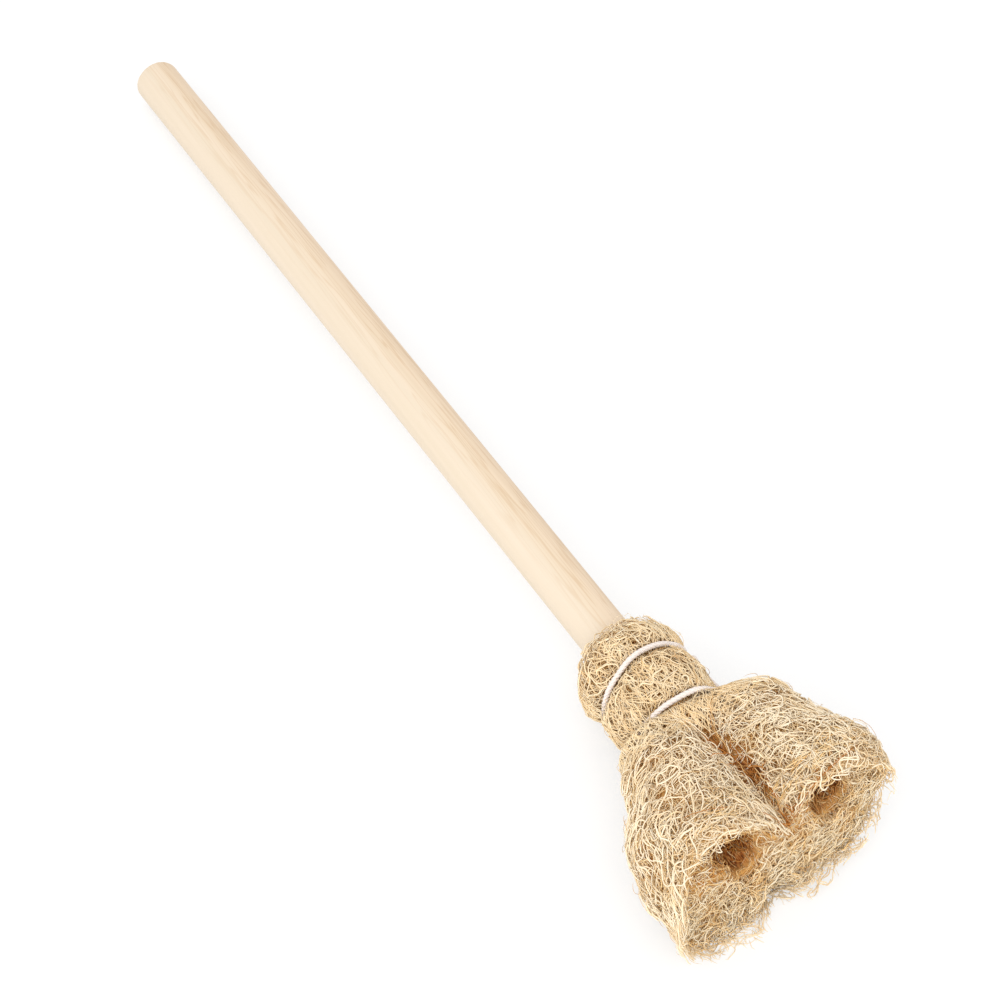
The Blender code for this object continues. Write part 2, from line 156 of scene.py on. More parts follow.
# The string. KNOT_ANGLE is where both turns are knotted, and the strand between them is near STRAND_ANGLE
STRING_RADIUS = 0.56 * MM
STRING_LAY = 2.7 * MM
GROOVE_DEPTH = 2.3 * MM
GROOVE_HALF_WIDTH = 1.4 * MM
TURN_PITCH = 1.7 * MM
TAIL_LENGTH = 7.0 * MM
FRAY = 2.4
FRAY_LENGTH = 2.6 * MM
FRAY_UNWOUND = 0.85
KNOT_ANGLE = math.radians(-12)
STRAND_TOP_ANGLE = math.radians(24)
STRAND_END_ANGLE = math.radians(16)
STRAND_ANGLE = math.radians(20)
STRAND_GROOVE = 0.9 * MM
STRAND_HALF_WIDTH = 0.9 * MM
# How both turns are tilted and shifted along, as slightly tilted rings
UPPER_TILT = -1.0 * MM
LOWER_TILT = 0.8 * MM
LOWER_TILT_ANGLE = math.radians(60)
LOWER_SHIFT = 0.3 * MM
# How often the string's path is eased where it turns from one run to the next, and then its line
CORNER_ROUNDING = 140
LINE_ROUNDING = 20
STRING_RAISED = 0.1 * MM
STRING_STEP = 0.22 * MM
# A ply's distance from the yarn's middle, its own radius, both as shares of the yarn's, and its rounded ends
PLY_APART = 0.38
PLY_RADIUS = 0.66
PLY_ENDS = 0.4 * MM
PLY_LEAST = 0.4
KNOT_SIZE = 0.62 * MM
KNOT_YARN = 0.46 * MM
KNOT_LAY = 2.4 * MM
KNOT_RAISED = 0.8 * MM
KNOT_STEP = 0.16 * MM

# Fibres at a turn of string: most points, how deep they start in the skin and their thickness in millimetres.
# Straps start before the turn and cross over it. Gathers start beside it, with shares of the groove's depth
TURN_POINTS = 15
TURN_SINK = 0.05 * MM
TURN_THICKNESS = (0.08, 0.12)
STRAP_STARTS = (2.5 * MM, 5.0 * MM)
STRAP_HEIGHT = 2.2 * STRING_RADIUS + 0.25 * MM
GATHER_STARTS = (0.4 * MM, 0.8 * MM)
GATHER_HEIGHTS = (0.1, 0.75)

# How fibres are drawn: steps along them, the sheets they are walked on and how they end
FIBRE_STEP = 0.6 * MM
FINE_STEP = 0.42 * MM
ROUND_COLUMNS = 720
ROW_STEP = 0.3 * MM
PAST_CUT = 1.2 * MM
PIECE_TRIANGLES = 185000
FEWEST_POINTS = 4
TAPER_LENGTH = 1.3 * MM
TAPER_LEAST = 0.35
# Star-like knots of the net: how far behind the cut they stay, and how their fibres sink and vary in depth
ROSETTE_BACK = 3.6 * MM
ROSETTE_SINK = 0.5 * MM
ROSETTE_ROUGH = 0.1 * MM
# The fringe at the cut: how far its ends reach before or past it, and its fibres' waves in depth
FRINGE_REACH = 1.0 * MM
FRINGE_WAVE = 0.2 * MM
FRINGE_WAVE_LENGTH = 1.3 * MM
# Waves of a fibre's turning: their share and their longest length
WANDER_WAVES = ((1.0, 6.5 * MM), (0.3, 3.0 * MM))
WEAVE_LENGTH = 0.9 * MM
TURNED_BACK = 0.65
LOOP_ROUNDING = (0.3 * MM, 0.8 * MM)
LOOP_OPENING = 1.3
# How much further back than its own depth a layer stops at the lower wall, which leaves open lace there
LACE_SHARE = 2.4
DIVE_DEPTH = 0.5 * MM
DIVE_LENGTH = 1.6 * MM

# Where the head starts, as a distance past the lower binding, and over what length it does
HEAD_STARTS = (1.5 * MM, 4.0 * MM)
# A net fibre's tone: how much painted shade darkens it for each millimetre under its layer and in the crease,
# how much a stain darkens it, how much painted light lifts it at the cut, its spread, and from where a stain
# shows and over what. Then the tables' sizes
PAINTED_SHADE_BY_DEPTH = 0.12
PAINTED_CREASE_SHADE = (0.75, 1.35)
TONE_IN_STAIN = 0.4
PAINTED_LIGHT_AT_CUT = 0.2
TONE_SPREAD = 0.06
STAIN_SHOWS = (0.55, 0.35)
STAIN_TABLE = (26, 60)
PATCH_TABLE = (24, 60)

# The crease between the lobes. The broad crease ends over a length at this distance from the axis. The deep
# crease starts as the head does, is looked for between two angles and reaches so far on both sides
CREASE_ENDS = (8.0 * MM, 4.5 * MM)
DEEP_STARTS = (5.0 * MM, 7.0 * MM)
CREASE_FROM = math.radians(35)
CREASE_TO = math.radians(130)
CREASE_SMOOTHING = 17
CREASE_LEFT = 0.6 * MM
CREASE_RIGHT = 0.5 * MM
CREASE_RIGHT_SLOPE = 0.75
CREASE_EDGE = 1.3 * MM
# Fibres thin out over this distance from the lower wall's edge, and over the second from the cut painted light
# makes the deeper ones paler
LOW_EDGE = 5.0 * MM
PAINTED_LIGHT_END = 7.0 * MM
# The tops of both lobes: the middle of the right one, and where the left one starts and ends, and over what
RIGHT_TOP = math.radians(35)
LEFT_TOP_STARTS = (math.radians(95), math.radians(15))
LEFT_TOP_ENDS = (math.radians(215), math.radians(25))
# How far aslant fibre is combed on the left lobe's top, and how much less of it at the cut end
COMBED_ASLANT = math.radians(68)
COMBED_STRAIGHTER = math.radians(38)

# Where the fibre inside the head stops: behind the cut end, further back from the lower wall and the roof
INNER_RECESS = 1.0 * MM
WALL_RECESS = 2.6 * MM
ROOF_RECESS = 3.6 * MM
# The section that inner fibres are spread over lies behind the cut, and they keep to a share of its radius.
# Then their waves' length, how raggedly their ends fall back, and how far they keep inside the skin
SECTION_BACK = 3.0 * MM
INNER_SHARE = 0.97
INNER_WAVE_LENGTH = 1.6 * MM
INNER_ENDS = 0.7 * MM
INNER_CLEAR = 0.3 * MM

# The pulp lies under the skin by a share of the skin's distance from its core, within limits, and its cap
# behind the inner fibres' ends. Its hollows have some room round them, and the painted shade in them sets in
# over a depth
PULP_CORE = 5.3 * MM
PULP_SHARE = 0.8
PULP_LEAST = 0.2 * MM
PULP_DEPTH = 2.6 * MM
PULP_RECESS = 3.4 * MM
HOLLOW_ROOM = 0.5 * MM
PAINTED_SHADE_SETS_IN = 2.0 * MM
PULP_POLE = 1.0 * MM
PULP_OFF_TABLE = 0.3 * MM

# The map's smallest steps of tone along a fibre and of tint round it, and the tone's and tint's limits
TONE_ZIGZAG = 0.004
TINT_WAVE = 0.01
TONE_LIMITS = (0.01, 0.99)
TINT_LIMITS = (0.015, 0.985)

# Colours as on a screen, 0 to 255. Fibre: by its tone, deep to light, outside and inside the head; the deep
# colours go where painted shade lowers the tone
STRAW = {"Deep": (192, 124, 52), "Middle": (250, 216, 155), "Light": (252, 240, 217)}
INNER_STRAW = {"Deep": (206, 142, 66), "Middle": (250, 216, 157), "Light": (254, 243, 219)}
FIBRE_TINTS = (
    (0.0, (255, 250, 242)), (0.45, (252, 249, 245)), (0.8, (255, 246, 230)), (1.0, (226, 211, 188)),
)
# Pulp: gold, the felt's colour and painted shade of the gaps between fibres; brown, painted shade in hollows
PULP_GOLD = ((0.3, (206, 148, 76)), (0.5, (228, 178, 106)), (0.7, (240, 200, 134)))
PULP_PAINTED_SHADE = ((0.38, (112, 60, 22)), (0.5, (162, 96, 40)), (0.62, (210, 152, 90)))
# The stick's wood: the lamp's side, then the side turned from it, painted warmer and brighter against its
# shade
WOOD_LAMP_SIDE = ((0.3, (220, 204, 181)), (0.5, (222, 206, 184)), (0.72, (224, 208, 187)))
WOOD_SHADED_SIDE = ((0.3, (225, 199, 168)), (0.5, (231, 207, 178)), (0.72, (236, 214, 188)))
WOOD_LINE = (198, 160, 112)
WOOD_FLECK = (160, 118, 70)
COTTON = ((0.3, (230, 217, 208)), (0.55, (244, 233, 226)), (0.8, (251, 243, 238)))

# Light and camera
FLOOR_HALF = 20.0
FLOOR_SEEN_WHITE = 0.6
WORLD_STRENGTH = 0.9
CAMERA_PLACE = (0.3951, -0.2065, 0.4494)
CAMERA_ELEVATION = math.radians(45.91)
CAMERA_AZIMUTH = math.radians(60.841)
CAMERA_LENS = 112.68


# The shape of the loofah
def eased(share):
    """A smooth step: three squares less two cubes of the share, held between 0 and 1."""
    share = np.clip(share, 0.0, 1.0)
    return share * share * (3.0 - 2.0 * share)


def starts(value, start, length):
    """A smooth step up from 0 at the start to 1 a length further on."""
    return eased((value - start) / length)


def bell(distance, width):
    """A bell curve: e to the negative square of a distance over a width."""
    return np.exp(-((distance / width) ** 2))


def unit(vectors):
    """Vectors divided by their own lengths."""
    return vectors / np.maximum(np.linalg.norm(vectors, axis=-1, keepdims=True), 1e-12)


def on_table(points):
    """Points in the stick's frame, turned about y by the table slope and moved to where the stick lies."""
    cosine, sine = math.cos(TABLE_SLOPE), math.sin(TABLE_SLOPE)
    x, y, z = points[..., 0], points[..., 1], points[..., 2]
    return np.stack([x * cosine - z * sine, y, x * sine + z * cosine], axis=-1) + np.array(SAWN_END)


def on_ray(angle, along, radius):
    """Points at an angle round the stick, a place along the loofah and a distance from the axis."""
    angle, along, radius = np.broadcast_arrays(angle, along, radius)
    return np.stack([STICK_SHOWN + along, radius * np.cos(angle), radius * np.sin(angle)], axis=-1)


def from_axis(points):
    """The angle round the stick, the place along the loofah and the distance from the axis of points."""
    across, up = points[..., 1], points[..., 2]
    return np.arctan2(up, across), points[..., 0] - STICK_SHOWN, np.hypot(across, up)


def gathered(along):
    """The gathered radius along the stick, by smooth steps between named radii, and its lean to one side."""
    places = (
        (0.0, RIM_RADIUS, 0.0),
        (COLLAR_HEIGHT / 2, COLLAR_RADIUS, COLLAR_LEAN),
        (UPPER_BINDING, UPPER_WAIST_RADIUS, COLLAR_LEAN / 2),
        (UPPER_BINDING + BINDING_SPACING / 2, NECK_RADIUS, 0.0),
        (LOWER_BINDING, LOWER_WAIST_RADIUS, 0.0),
        (STICK_SEATED, CORE_RADIUS, 0.0),
        (CUT_END, CREASE_RADIUS, 0.0),
    )
    radius = np.full_like(along, places[0][1])
    lean = np.zeros_like(along)
    for here, there in zip(places, places[1:]):
        share = eased((along - here[0]) / (there[0] - here[0]))
        radius = radius + (there[1] - here[1]) * share
        lean = lean + (there[2] - here[2]) * share
    return radius, lean


def lobe_reach(angle, across, up, half_width, half_height):
    """How far a ray from the axis runs before it leaves an ellipse, from the root of its square equation."""
    ray_across, ray_up = np.cos(angle) / half_width, np.sin(angle) / half_height
    centre_across, centre_up = across / half_width, up / half_height
    square = ray_across**2 + ray_up**2
    middle = ray_across * centre_across + ray_up * centre_up
    inside = np.maximum(middle**2 - square * (centre_across**2 + centre_up**2 - 1.0), 0.0)
    return np.maximum(middle + np.sqrt(inside), 0.0) / square * (inside > 0.0)


def swell(along, length, lost_share):
    """The share of its full size that a lobe has: a quarter sine wave to a power, less a squared loss."""
    share = np.clip((along - LOWER_BINDING - TURN_PITCH / 2) / length, 0.0, 1.0)
    past = np.clip(((along - LOWER_BINDING) / HEAD_LENGTH - LOST_FROM_SHARE) / (1.0 - LOST_FROM_SHARE), 0, 1)
    return np.sin(share * math.pi / 2) ** SWELL_POWER * (1.0 - lost_share * past**2)


def upper_turn(angle):
    """Where the upper turn of string lies along the loofah: a slightly tilted ring."""
    return UPPER_BINDING + UPPER_TILT * np.cos(angle)


def lower_turn(angle):
    """Where the lower turn of string lies along the loofah: a slightly tilted ring."""
    return LOWER_BINDING + LOWER_SHIFT + LOWER_TILT * np.cos(angle - LOWER_TILT_ANGLE)


def skin_radius(angle, along):
    """The loofah's outer radius: the power sum of its core and lobes, with lumps, overhang and grooves.

    The power sum is close to the largest of its terms. Lumps are sine waves round and along. The overhang,
    the puffs and the grooves are bell curves along. The overhang grows with the squared cosine of the angle
    and a puff with the fourth power of one. The strand between the two turns has a groove of its own, a bell
    curve across it.
    """
    core, lean = gathered(along)
    total = core**UNION_SHARPNESS
    for *ellipse, length, lost_share in (RIGHT_LOBE, LEFT_LOBE, UNDER_FOLD):
        total = total + (lobe_reach(angle, *ellipse) * swell(along, length, lost_share)) ** UNION_SHARPNESS
    radius = total ** (1.0 / UNION_SHARPNESS) + lean * np.cos(angle - LEAN_ANGLE)
    for share, round_waves, along_waves, phase in LUMPS:
        turn = round_waves * angle + math.tau * along_waves * along / CUT_END + phase
        radius = radius * (1.0 + share * np.sin(turn))
    overhang = OVERHANG * bell(along - LOWER_BINDING - OVERHANG_PLACE, OVERHANG_LENGTH)
    radius = radius + overhang * np.cos(angle) ** 2
    for size, middle, place, length in PUFFS:
        radius = radius + size * np.clip(np.cos(angle - middle), 0.0, 1.0) ** 4 * bell(along - place, length)
    for binding in (upper_turn(angle), lower_turn(angle)):
        radius = radius - GROOVE_DEPTH * bell(along - binding, GROOVE_HALF_WIDTH)
    aside = np.sin(angle - STRAND_ANGLE) * NECK_RADIUS + (np.cos(angle - STRAND_ANGLE) < 0.0)
    between = np.clip((along - UPPER_BINDING) * (LOWER_BINDING - along) / (BINDING_SPACING / 2) ** 2, 0.0, 1.0)
    return radius - STRAND_GROOVE * between * bell(aside, STRAND_HALF_WIDTH)


def cut_place(angle):
    """How far along the loofah its cut end lies: the profile, eased from step to step, and small ripples."""
    turn = angle / math.tau % 1.0 * len(CUT_PROFILE)
    before = np.floor(turn).astype(int)
    here, there = CUT_PROFILE[before % len(CUT_PROFILE)], CUT_PROFILE[(before + 1) % len(CUT_PROFILE)]
    return CUT_END + here + (there - here) * eased(turn - before) + CUT_RIPPLE * np.sin(CUT_RIPPLES * angle)


def lowness(angle):
    """How much a direction round the stick belongs to the lower wall: a smooth step of its sine."""
    return eased((0.3 - np.sin(angle)) / 0.6)


def fill_end(angle, share):
    """How far along the inner fibres reach: out with the wall, and back from a low wall and under the roof."""
    out = (cut_place(angle) - CUT_END) * share**2
    height, aside = share * np.sin(angle), share * np.abs(np.cos(angle))
    roof = ROOF_RECESS * eased((height + 0.2) / 0.8) * eased((aside - 0.1) / 0.3)
    return CUT_END + out - (INNER_RECESS + WALL_RECESS * lowness(angle) * share**2 + roof)


# Sheets that fibres are walked on
def sheet(points):
    """A sheet closed round its columns: at every point its place, outward normal and two step lengths."""
    round_way = (np.roll(points, -1, axis=1) - np.roll(points, 1, axis=1)) / 2
    long_way = np.gradient(points, axis=0)
    lengths = [np.linalg.norm(way, axis=-1, keepdims=True) for way in (round_way, long_way)]
    return np.concatenate([points, unit(np.cross(round_way, long_way)), *lengths], axis=-1)


def look_up(table, column, row):
    """Values between a table's points, mixed from the four nearest. Columns run round, rows are held."""
    row = np.clip(row, 0.0, len(table) - 1.001)
    top, left = np.floor(row).astype(int), np.floor(column).astype(int)
    down, over = (row - top)[..., None], (column - left)[..., None]
    left, right = left % table.shape[1], (left + 1) % table.shape[1]
    upper = table[top, left] * (1.0 - over) + table[top, right] * over
    lower = table[top + 1, left] * (1.0 - over) + table[top + 1, right] * over
    return upper * (1.0 - down) + lower * down


def value_at(table, column, row):
    """look_up() for a table with one value at each point."""
    return look_up(table[..., None], column, row)[..., 0]


def under(table, column, row, sink):
    """Points a depth under a sheet, and the sheet's outward normals there."""
    found = look_up(table, column, row)
    return found[..., :3] - sink[..., None] * found[..., 3:6], found[..., 3:6]


def run_along(steps):
    """The distance run up to each point of a line, from the lengths of the steps between them."""
    return np.concatenate([[0.0], np.cumsum(steps)])


def head_place(share, angle):
    """Places along: the neck takes the first part of the share, and the rest runs on to the cut end."""
    start, neck = LOWER_BINDING + TURN_PITCH / 2, 0.4
    past = np.clip((share - neck) / (1.0 - neck), 0.0, 1.0)
    return np.minimum(share / neck, 1.0) * start + past * (cut_place(angle) - start)


def skin_sheet():
    """The loofah's outer sheet, with rows a set distance apart: the rolled rim, the skin, and past the cut.

    The rim is half an ellipse from the stick to the skin. The skin's rows are spaced by the mean length of
    its columns. The last rows run straight on past the cut end. Also gives the skin's first and last row.
    """
    angle = np.arange(ROUND_COLUMNS)[None] * math.tau / ROUND_COLUMNS
    share = np.linspace(0.0, 1.0, 1400)[:, None]
    few = angle[:, ::10]
    along = head_place(share, few)
    tried = on_ray(few, along, skin_radius(few + 0.0 * share, along))
    run = run_along(np.linalg.norm(np.diff(tried, axis=0), axis=-1).mean(axis=1))
    rows = round(run[-1] / ROW_STEP)
    share = np.interp(np.linspace(0.0, run[-1], rows + 1), run, share[:, 0])[:, None]
    along = head_place(share, angle)
    skin = on_ray(angle, along, skin_radius(angle + 0.0 * along, along))
    turn = np.linspace(0.0, math.pi, 16)[:-1, None]
    outer = skin_radius(angle, np.zeros_like(angle))
    middle, half = (RIM_INNER_RADIUS + outer) / 2, (outer - RIM_INNER_RADIUS) / 2
    rim = on_ray(angle, -RIM_ROLL * np.sin(turn), middle - half * np.cos(turn))
    past = np.linspace(0.0, PAST_CUT, 5)[1:, None, None] * np.array([1.0, 0.0, 0.0])
    return sheet(np.concatenate([rim, skin, skin[-1:] + past])), len(rim), len(rim) + rows


# Fibres
def smooth_noise(rng, rows, columns):
    """A table of random values between 0 and 1, to be looked up between its points."""
    return rng.random((rows, columns))


def start_places(rng, table, weight, count):
    """Places drawn by area times weight: a running total of it, looked up at random shares."""
    total = np.cumsum((table[..., 6] * table[..., 7] * weight).ravel())
    cell = np.searchsorted(total, rng.random(count) * total[-1])
    row, column = np.divmod(cell, table.shape[1])
    return column + rng.random(count), row + rng.random(count)


def run_of(longest, step=FIBRE_STEP):
    """Distances along a fibre, a step apart, that reach just past the longest one."""
    return np.arange(int(longest / step) + 2) * step


def points_in(length, step=FIBRE_STEP):
    """How many points a fibre of a length has."""
    return (length / step).astype(int) + 1


def either_way(rng, spread, count):
    """Headings that run along the grain or back along it, with a spread."""
    return rng.normal(0.0, spread, count) + math.pi * rng.integers(0, 2, count)


def varied(rng, size, spread, count):
    """Sizes that vary: a size times e to normal random powers."""
    return size * np.exp(rng.normal(0.0, spread, count))


def any_phase(rng, count):
    """Random phases of a wave, one for each fibre."""
    return rng.uniform(0.0, math.tau, (count, 1))


def wander(rng, count, run, curl, bend):
    """Turning along each fibre: a steady bend and two sine waves with random lengths and phases."""
    turning = rng.normal(0.0, bend, (count, 1)) * run / MM
    for share, longest in WANDER_WAVES:
        length = rng.uniform(0.5, 1.0, (count, 1)) * longest
        phase = any_phase(rng, count)
        wave = np.sin(math.tau * run / length + phase) - np.sin(phase)
        turning = turning + curl * share * rng.uniform(0.4, 1.0, (count, 1)) * wave
    return turning


def walk(table, column, row, heading, turning, follows=None, step=FIBRE_STEP):
    """Steps over a sheet along each fibre's heading and turning, added to the grain where it follows that."""
    columns, rows = [column], [row]
    for turn in turning.T[:-1]:
        here = look_up(table[..., 6:8], column, row)
        way = heading + turn if follows is None else value_at(grain, column, row) * follows + heading + turn
        column = column + np.sin(way) * step / here[..., 0]
        row = row + np.cos(way) * step / here[..., 1]
        columns.append(column)
        rows.append(row)
    return np.stack(columns, axis=1), np.stack(rows, axis=1)


def steps_inside(inside):
    """How many points of each fibre come before the first one that lies outside."""
    return np.where(inside.all(axis=1), inside.shape[1], np.argmin(inside, axis=1))


def tapered(run, count, radius):
    """A fibre's radius along it: full in the middle and a square root of the distance near its ends."""
    end = np.minimum(run, (count[:, None] - 1) * run[1] - run)
    taper = np.sqrt(np.clip(end / TAPER_LENGTH, 0.0, 1.0))
    return radius[:, None] * (TAPER_LEAST + (1.0 - TAPER_LEAST) * taper)


def chosen(lot, mask):
    """Some of a lot's fibres."""
    return {name: values if name == "sides" else values[mask] for name, values in lot.items()}


def laid(points, side, radius, count, tone, tint, sides=3):
    """A lot of fibres laid on the table, none of them under it, without those too short to be drawn."""
    placed = on_table(points)
    placed[..., 2] = np.maximum(placed[..., 2], radius)
    lot = {"points": placed, "side": side, "radius": radius, "count": count,
           "tone": np.clip(tone, *TONE_LIMITS), "tint": np.clip(tint, *TINT_LIMITS)}
    return {**chosen(lot, count >= FEWEST_POINTS), "sides": sides}


def tube_rings(middle, across, up, radius, turn):
    """Rings of points: the middle, and the radius times the turn's cosine across and its sine up."""
    cosine, sine = (radius[..., None, None] * part(turn)[:, None] for part in (np.cos, np.sin))
    return middle[..., None, :] + cosine * across[..., None, :] + sine * up[..., None, :]


def quad_map(near, far, low, high):
    """Where quads lie on the map: along from near to far, and round from low to high."""
    corners = [np.stack(corner, axis=-1) for corner in ((near, low), (near, high), (far, high), (far, low))]
    return np.stack(corners, axis=2).reshape(-1, 2)


def tubes(lot):
    """Tubes round fibres: rings about each point, joined to the next, with both ends closed.

    The map's first axis holds the fibre's tone and its second axis the fibre's tint, each with a slight
    zigzag or wave, so that every face has some size on it.
    """
    points, sides, count = lot["points"], lot["sides"], lot["count"]
    forward = unit(np.gradient(points, axis=1))
    across = unit(np.cross(lot["side"], forward))
    corner = np.arange(sides)
    after = (corner + 1) % sides
    turn = corner * math.tau / sides
    ring = tube_rings(points, across, np.cross(forward, across), lot["radius"], turn)
    step = np.arange(points.shape[1])
    kept = step < count[:, None]
    number = np.cumsum(kept.ravel()).reshape(kept.shape) - 1
    joined = kept[:, :-1] & kept[:, 1:]
    here = number[:, :-1][joined] * sides
    quads = here[:, None, None] + np.stack([corner, after, after + sides, corner + sides], axis=-1)
    tone = lot["tone"][:, None] + np.where(step % 2 == 0, -TONE_ZIGZAG, TONE_ZIGZAG)
    tint = np.broadcast_to(lot["tint"][:, None], kept.shape)[:, :-1][joined][:, None]
    wave = TINT_WAVE * np.sin(turn)
    level = np.zeros(sides)
    quad_uv = quad_map(
        tone[:, :-1][joined][:, None] + level, tone[:, 1:][joined][:, None] + level,
        tint + wave[corner], tint + wave[after],
    )
    first, last = number[:, 0] * sides, number[np.arange(len(points)), count - 1] * sides
    caps = np.concatenate([first[:, None] + corner[::-1], last[:, None] + corner])
    centre = np.stack([lot["tone"], lot["tint"]], axis=-1)
    cap_uv = centre[:, None] + np.stack([TONE_ZIGZAG * np.cos(turn), wave], axis=-1)
    cap_uv = np.concatenate([cap_uv[:, ::-1], cap_uv]).reshape(-1, 2)
    return ring[kept].reshape(-1, 3), quads.reshape(-1, 4), caps, quad_uv, cap_uv


def mesh_piece(name, places, faces, material, uv=None):
    """A smooth mesh piece made of arrays: its places, its faces in lists of equal corners, and any map."""
    mesh = bpy.data.meshes.new(name)
    corners = np.concatenate([lot.ravel() for lot in faces])
    sizes = np.concatenate([np.full(len(lot), lot.shape[1]) for lot in faces])
    mesh.vertices.add(len(places))
    mesh.vertices.foreach_set("co", places.astype(np.float32).ravel())
    mesh.loops.add(len(corners))
    mesh.loops.foreach_set("vertex_index", corners.astype(np.int32))
    mesh.polygons.add(len(sizes))
    mesh.polygons.foreach_set("loop_start", (np.cumsum(sizes) - sizes).astype(np.int32))
    mesh.polygons.foreach_set("use_smooth", np.full(len(sizes), True))
    mesh.update(calc_edges=True)
    if uv is not None:
        mesh.uv_layers.new(name=uv[0]).data.foreach_set("uv", uv[1].astype(np.float32).ravel())
    mesh.materials.append(material)
    piece = bpy.data.objects.new(name, mesh)
    bpy.context.scene.collection.objects.link(piece)
    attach(piece, "root")
    return piece


def triangles_in(lot):
    """How many triangles a lot's tubes have."""
    return int((2 * lot["sides"] * (lot["count"] - 1)).sum() + 2 * (lot["sides"] - 2) * len(lot["count"]))


def fibre_pieces(name, lots, material, rng):
    """Pieces made of lots of fibres, dealt out at random so that no piece holds too many triangles."""
    parts = max(1, math.ceil(sum(triangles_in(lot) for lot in lots) / PIECE_TRIANGLES))
    hands = [rng.integers(0, parts, len(lot["count"])) for lot in lots]
    for part in range(parts):
        places, quads, quad_maps, caps, cap_maps, start = [], [], [], {}, {}, 0
        for lot, hand in zip(lots, hands):
            if not (hand == part).any():
                continue
            ring, quad, cap, quad_uv, cap_uv = tubes(chosen(lot, hand == part))
            places.append(ring)
            quads.append(quad + start)
            quad_maps.append(quad_uv)
            caps.setdefault(lot["sides"], []).append(cap + start)
            cap_maps.setdefault(lot["sides"], []).append(cap_uv)
            start += len(ring)
        faces, maps = (
            [np.concatenate(around)] + [np.concatenate(ends[sides]) for sides in sorted(ends)]
            for around, ends in ((quads, caps), (quad_maps, cap_maps))
        )
        full_name = name if parts == 1 else f"{name}_{part + 1}"
        uv = ("OFBake", np.concatenate(maps))
        mesh_piece(full_name, np.concatenate(places), faces, material, uv)


# The loofah's sheet and what changes over it
skin, rim_row, cut_row = skin_sheet()
column_angle = np.arange(ROUND_COLUMNS) * math.tau / ROUND_COLUMNS
_, skin_along, skin_reach = from_axis(skin)
from_binding = skin_along - LOWER_BINDING
down_head = np.clip(from_binding / HEAD_LENGTH, 0.0, 1.0)
in_head = starts(from_binding, *HEAD_STARTS)

# The broad crease lies where the skin is near the axis, and the deep crease close to its lowest line
crease = in_head * (1.0 - starts(skin_reach, *CREASE_ENDS)) * (np.sin(column_angle) > 0.3)
valley_from, valley_to = (round(ROUND_COLUMNS * edge / math.tau) for edge in (CREASE_FROM, CREASE_TO))
valley = valley_from + np.argmin(skin_reach[:, valley_from:valley_to], axis=1)
padded = np.pad(valley, CREASE_SMOOTHING // 2, mode="edge")
valley = np.convolve(padded, np.full(CREASE_SMOOTHING, 1.0 / CREASE_SMOOTHING), mode="valid")[:, None]
from_valley = (np.arange(ROUND_COLUMNS) - valley) * skin[..., 6]
from_valley = np.maximum(from_valley - CREASE_LEFT, CREASE_RIGHT_SLOPE * (-from_valley - CREASE_RIGHT))
deep_crease = starts(from_binding, *DEEP_STARTS) * (1.0 - eased(from_valley / CREASE_EDGE))

# The lower wall's edge at the cut, and the tops of both lobes
to_cut = (cut_row - np.arange(len(skin)))[:, None] * ROW_STEP
low_edge = lowness(column_angle) * (1.0 - eased(to_cut / LOW_EDGE))
right_top = in_head * (np.cos(column_angle - RIGHT_TOP) > 0.2)
left_top = in_head * starts(column_angle, *LEFT_TOP_STARTS) * (1.0 - starts(column_angle, *LEFT_TOP_ENDS))

# The grain's heading, and the share of fibres that follow it: on the left lobe's top they are combed aslant
grain = left_top * (COMBED_ASLANT - COMBED_STRAIGHTER * down_head) * (1.0 - crease)
combed = left_top * (0.62 - 0.45 * down_head)
follow_share = np.clip(0.3 * (1.0 - in_head) + combed + 0.06 * in_head + 0.8 * deep_crease, 0.0, 0.9)
stains = smooth_noise(np.random.default_rng(5), *STAIN_TABLE)

# Where each layer's fibres start, as weights
NET_PLACES = {
    "all over": np.ones(skin.shape[:2]),
    "clear of the crease": (1.0 - 0.93 * deep_crease) * (1.0 - 0.3 * low_edge),
    "thin at the edge": (1.0 - 0.85 * low_edge) * (1.0 - 0.5 * deep_crease),
    "towards the crease": 0.02 + 0.15 * crease + deep_crease,
    "in the crease": deep_crease,
    "not in the crease": (deep_crease < 0.02).astype(float),
}
NET_PLACES["on top"] = NET_PLACES["clear of the crease"] * (
    0.78 + 0.22 * in_head + 0.25 * left_top * (1.0 - down_head))
NET_PLACES["right top"] = (right_top + 0.2 * in_head) * NET_PLACES["not in the crease"]


